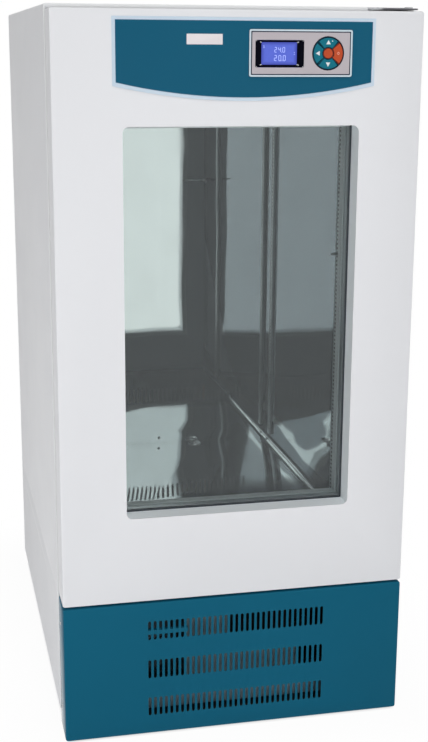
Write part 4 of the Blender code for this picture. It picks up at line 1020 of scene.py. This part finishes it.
def floorSeams(look):
    front, back = nearOf("chamber_liner") + 0.012, nearOf("duct_panel") - 0.001
    section = circle(0, 0, look["seamRadius"], 14)
    z = look["floor"] + look["seamIn"]
    for side, name in ((-1, "left"), (1, "right")):
        x = side * (look["wall"] - look["seamIn"])
        stations = [((x, y, z), (1, 0, 0), (0, 0, 1)) for y in (front, back)]
        # the bead's pale finish is a painted highlight
        sweptPiece("floor_seam_" + name, section, stations, "brightBead")


def cabinetEdge(look):
    left, right, bottom, top = edgeOf("cabinet_shell")
    front = nearOf("cabinet_shell")
    hingeLeft, hingeLow = edgeOf("hinge_plate_top")[::2]
    wide, proud, sunk = look["edgeWide"], look["edgeProud"], look["edgeSunk"]
    section = [(0.0002, sunk), (0.0002, -proud * 0.45), (wide * 0.14, -proud * 0.8), (wide * 0.36, -proud),
               (wide * 0.7, -proud), (wide, -proud * 0.7), (wide, sunk)]
    r, higher, behind = look["edgeCorner"], look["edgeHigher"], (0, 1, 0)
    stations = [((left, front, bottom + 0.001), (1, 0, 0), behind)]
    for k in range(6):
        a = math.radians(18 * k)
        grow = 1 + (higher - 1) * k / 5
        stations.append(((left + r - r * math.cos(a), front, top - r + r * math.sin(a)),
                         (math.cos(a), 0, -math.sin(a) * grow), behind))
    stations.append(((hingeLeft - look["hingeGap"], front, top), (0, 0, -higher), behind))
    # the rolled edge's paler paint is a painted highlight
    sweptPiece("cabinet_edge", section, stations, "edgePaint")
    stations = [((right, front, z), (-1, 0, 0), behind) for z in (bottom + 0.001, hingeLow - look["hingeGap"])]
    sweptPiece("cabinet_edge_right", section, stations, "edgePaint")


# behind the slots: relay box beside the compressor, air guide before the condenser
machine = {
    "box": (-0.0932, 0.0110, -0.430, -0.386, 0.262),  # x, x, front, back, top
    "boxFold": 0.004,
    "screws": (0.025, 0.016),  # aside, below the top
    "guide": (0.0130, 0.1885, -0.420, -0.408, 0.126),
    "guideFold": 0.003,
}


def foldedBox(name, x0, x1, y0, y1, z0, z1, edge):
    # closed box of folded sheet with rounded upright edges
    levels = ((z0, 0.0), (z1 - edge, 0.0), (z1 - edge * 0.3, edge * 0.3), (z1, edge))
    skinnedPiece(name, "cabinet", [[(x, y, z) for x, y in inset((x0, x1, y0, y1), shrink, edge, 3)]
                                   for z, shrink in levels], "relayGrey")


def machineParts(look):
    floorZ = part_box("compressor")[0][2]  # what stands on the base pan's floor
    x0, x1, front, back, top = look["box"]
    foldedBox("relay_box", x0, x1, front, back, floorZ, top, look["boxFold"])
    aside, below = look["screws"]
    bm = bmesh.new()
    for side in (-1, 1):
        turned(bm, ((0, -0.0005), (0.0042, -0.0005), (0.0042, 0.0012), (0.003, 0.0022), (0, 0.0022)),
               ((x0 + x1) / 2 + side * aside, front, top - below), towardsFront, 14)
    setDown("relay_box_screws", "cabinet", bm, "screwSteel")
    x0, x1, front, back, top = look["guide"]
    foldedBox("air_guide", x0, x1, front, back, floorZ, top, look["guideFold"])


# screws: levels from the floor, distances aside from the middle
screws = {
    "side": dict(levels=(0.278, 0.0715), fromBack=0.037, radius=0.0036),
    "back": dict(levels=(0.372, 0.792, 1.212, 1.618), aside=0.385, between=0.13, radius=0.0034),
    "grille": dict(levels=(0.062, 0.330), aside=0.382, radius=0.0034),
    "duct": dict(middle=0.99, fromEnds=0.016, aside=0.318, radius=0.0040),
    "hinge": dict(left=0.018, right=0.020, fromBack=(0.030, 0.080), radius=0.0044),
}


def screwsAll(look):
    def rows(levels, aside, y):
        return [(x, y, z) for z in levels for x in (-aside, aside)]

    side = look["side"]
    low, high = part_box("lower_cover")
    for name, x, out in (("side_screws_left", low[0], -1), ("side_screws_right", high[0], 1)):
        spots = [(x, high[1] - side["fromBack"], z) for z in side["levels"]]
        crossScrews(name, spots, (out, 0, 0), side["radius"])
    back, levels, y = look["back"], look["back"]["levels"], farOf("back_panel")
    spots = rows(levels, back["aside"], y) + rows((levels[0], levels[-1]), back["between"], y)
    crossScrews("back_screws", spots, (0, 1, 0), back["radius"])
    grille = look["grille"]
    spots = rows(grille["levels"], grille["aside"], farOf("rear_grille"))
    crossScrews("grille_screws", spots, (0, 1, 0), grille["radius"])
    duct = look["duct"]
    low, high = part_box("duct_panel")
    levels = (low[2] + duct["fromEnds"], duct["middle"], high[2] - duct["fromEnds"])
    spots = rows(levels, duct["aside"], low[1]) + [(0.0, low[1], levels[0])]
    crossScrews("duct_screws", spots, towardsFront, duct["radius"])
    top = look["hinge"]
    low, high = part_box("hinge_plate_top")
    left, right = low[0] + top["left"], high[0] - top["right"]
    near, far = top["fromBack"]
    spots = [(left, high[1] - near, high[2]), (right, high[1] - near, high[2]), (left, high[1] - far, high[2])]
    crossScrews("hinge_screws", spots, (0, 0, 1), top["radius"])


for makePart, look in ((glassSeal, window), (floorSeams, beads), (cabinetEdge, beads), (machineParts, machine),
                       (screwsAll, screws), (gasketLips, gasket)):
    makePart(look)
print("seal, beads, machine parts, screws and gasket set")

# floor, world and lamps
studio = {
    "floorSize": 30.0,
    "paper": (244, 244, 245),
    # dark floor colour under the cabinet: painted shadow
    "shadeUnderneath": (86, 88, 92),
    "footprint": (0.4025, 0.557, 0.563),  # half width, reach to the front and to the back
    "nearWhite": 0.965,
    "fadeReach": 0.35,  # from the cabinet's edge the floor fades to plain white over this length
    "clearFrom": (-0.030, -0.004),  # painted shadow under the cabinet itself: no white, and the dark floor colour
    "worldFill": 0.25,
}
lamps = {
    "key": dict(place=(0.4, -4.8, 1.0), aim=(0.0, -0.2, 0.60), size=2.0, power=60.0),
    "top": dict(place=(-0.5, -3.5, 6.0), aim=(0.0, -0.5, 0.8), size=2.4, power=118.0),
    "side": dict(place=(-2.4, -1.3, 0.30), aim=(-0.4, 0.0, 0.15), size=0.7, power=12.0),
}


def seenPlainly(tree):
    # 1 for the camera and for what mirrors and glass show
    path = addNode(tree, "ShaderNodeLightPath").outputs
    return calc(tree, "MAXIMUM", *(path["Is " + kind + " Ray"] for kind in ("Camera", "Glossy", "Transmission")))


def mixShaders(tree, share, a, b):
    return addNode(tree, "ShaderNodeMixShader", {0: share, 1: a.outputs[0], 2: b.outputs[0]}).outputs[0]


def buildFloor(look):
    half = look["floorSize"] / 2
    mesh = bpy.data.meshes.new("studioFloor")
    mesh.from_pydata([(-half, -half, 0), (half, -half, 0), (half, half, 0), (-half, half, 0)], [], [(0, 1, 2, 3)])
    link("studioFloor", mesh)
    mat, tree, skin = newMaterial("floorPaper", {"Roughness": 0.9, "Specular IOR Level": 0.1})
    spot = split(tree, placeOn(tree))
    side, front, rear = look["footprint"]
    across = calc(tree, "SUBTRACT", calc(tree, "ABSOLUTE", spot[0]), side)
    ahead = calc(tree, "SUBTRACT", calc(tree, "MULTIPLY", spot[1], -1.0), front)
    away = calc(tree, "MAXIMUM", across, ahead, calc(tree, "SUBTRACT", spot[1], rear))
    fade = spread(tree, away, 0.0, look["fadeReach"], look["nearWhite"], 1.0)
    clear = spread(tree, away, *look["clearFrom"])
    feed(tree, skin, {"Base Color": blend(tree, clear, screen(*look["shadeUnderneath"]), screen(*look["paper"]))})
    glow = addNode(tree, "ShaderNodeEmission", {"Color": white, "Strength": 1.0})
    share = calc(tree, "MULTIPLY", seenPlainly(tree), fade, clear)
    feed(tree, tree.nodes["Material Output"], {0: mixShaders(tree, share, skin, glow)})
    mesh.materials.append(mat)


def buildWorld(look):
    world = bpy.data.worlds.new("studioWorld")
    bpy.context.scene.world = world
    world.use_nodes = True
    tree = world.node_tree
    tree.nodes.clear()
    fill = addNode(tree, "ShaderNodeBackground", {"Color": white, "Strength": look["worldFill"]})
    seen = addNode(tree, "ShaderNodeBackground", {"Color": white, "Strength": 1.0})
    addNode(tree, "ShaderNodeOutputWorld", {0: mixShaders(tree, seenPlainly(tree), fill, seen)})


def setLamp(name, look):
    lamp = bpy.data.lights.new(name, "AREA")
    lamp.shape = "SQUARE"
    lamp.size = look["size"]
    lamp.energy = look["power"]
    holder = link(name, lamp)
    holder.visible_camera = holder.visible_glossy = holder.visible_transmission = False
    holder.location = look["place"]
    holder.rotation_euler = (Vector(look["aim"]) - Vector(look["place"])).to_track_quat("-Z", "Y").to_euler()


buildFloor(studio)
buildWorld(studio)
for name, look in lamps.items():
    setLamp(name + "Lamp", look)

# camera, at the photograph's place
view = {
    "place": (-0.6655, -3.2632, 1.5560),
    "turn": (76.09026, -0.31901, -12.61129),  # degrees
    "lens": 63.116,
    "sensor": 36.0,
}
cameraData = bpy.data.cameras.new("photoCamera")
cameraData.lens = view["lens"]
cameraData.sensor_width = view["sensor"]
camera = link("photoCamera", cameraData)
camera.location = view["place"]
camera.rotation_euler = [math.radians(a) for a in view["turn"]]
bpy.context.scene.camera = camera
bpy.context.scene.view_settings.view_transform = "Standard"
print("studio and camera set")
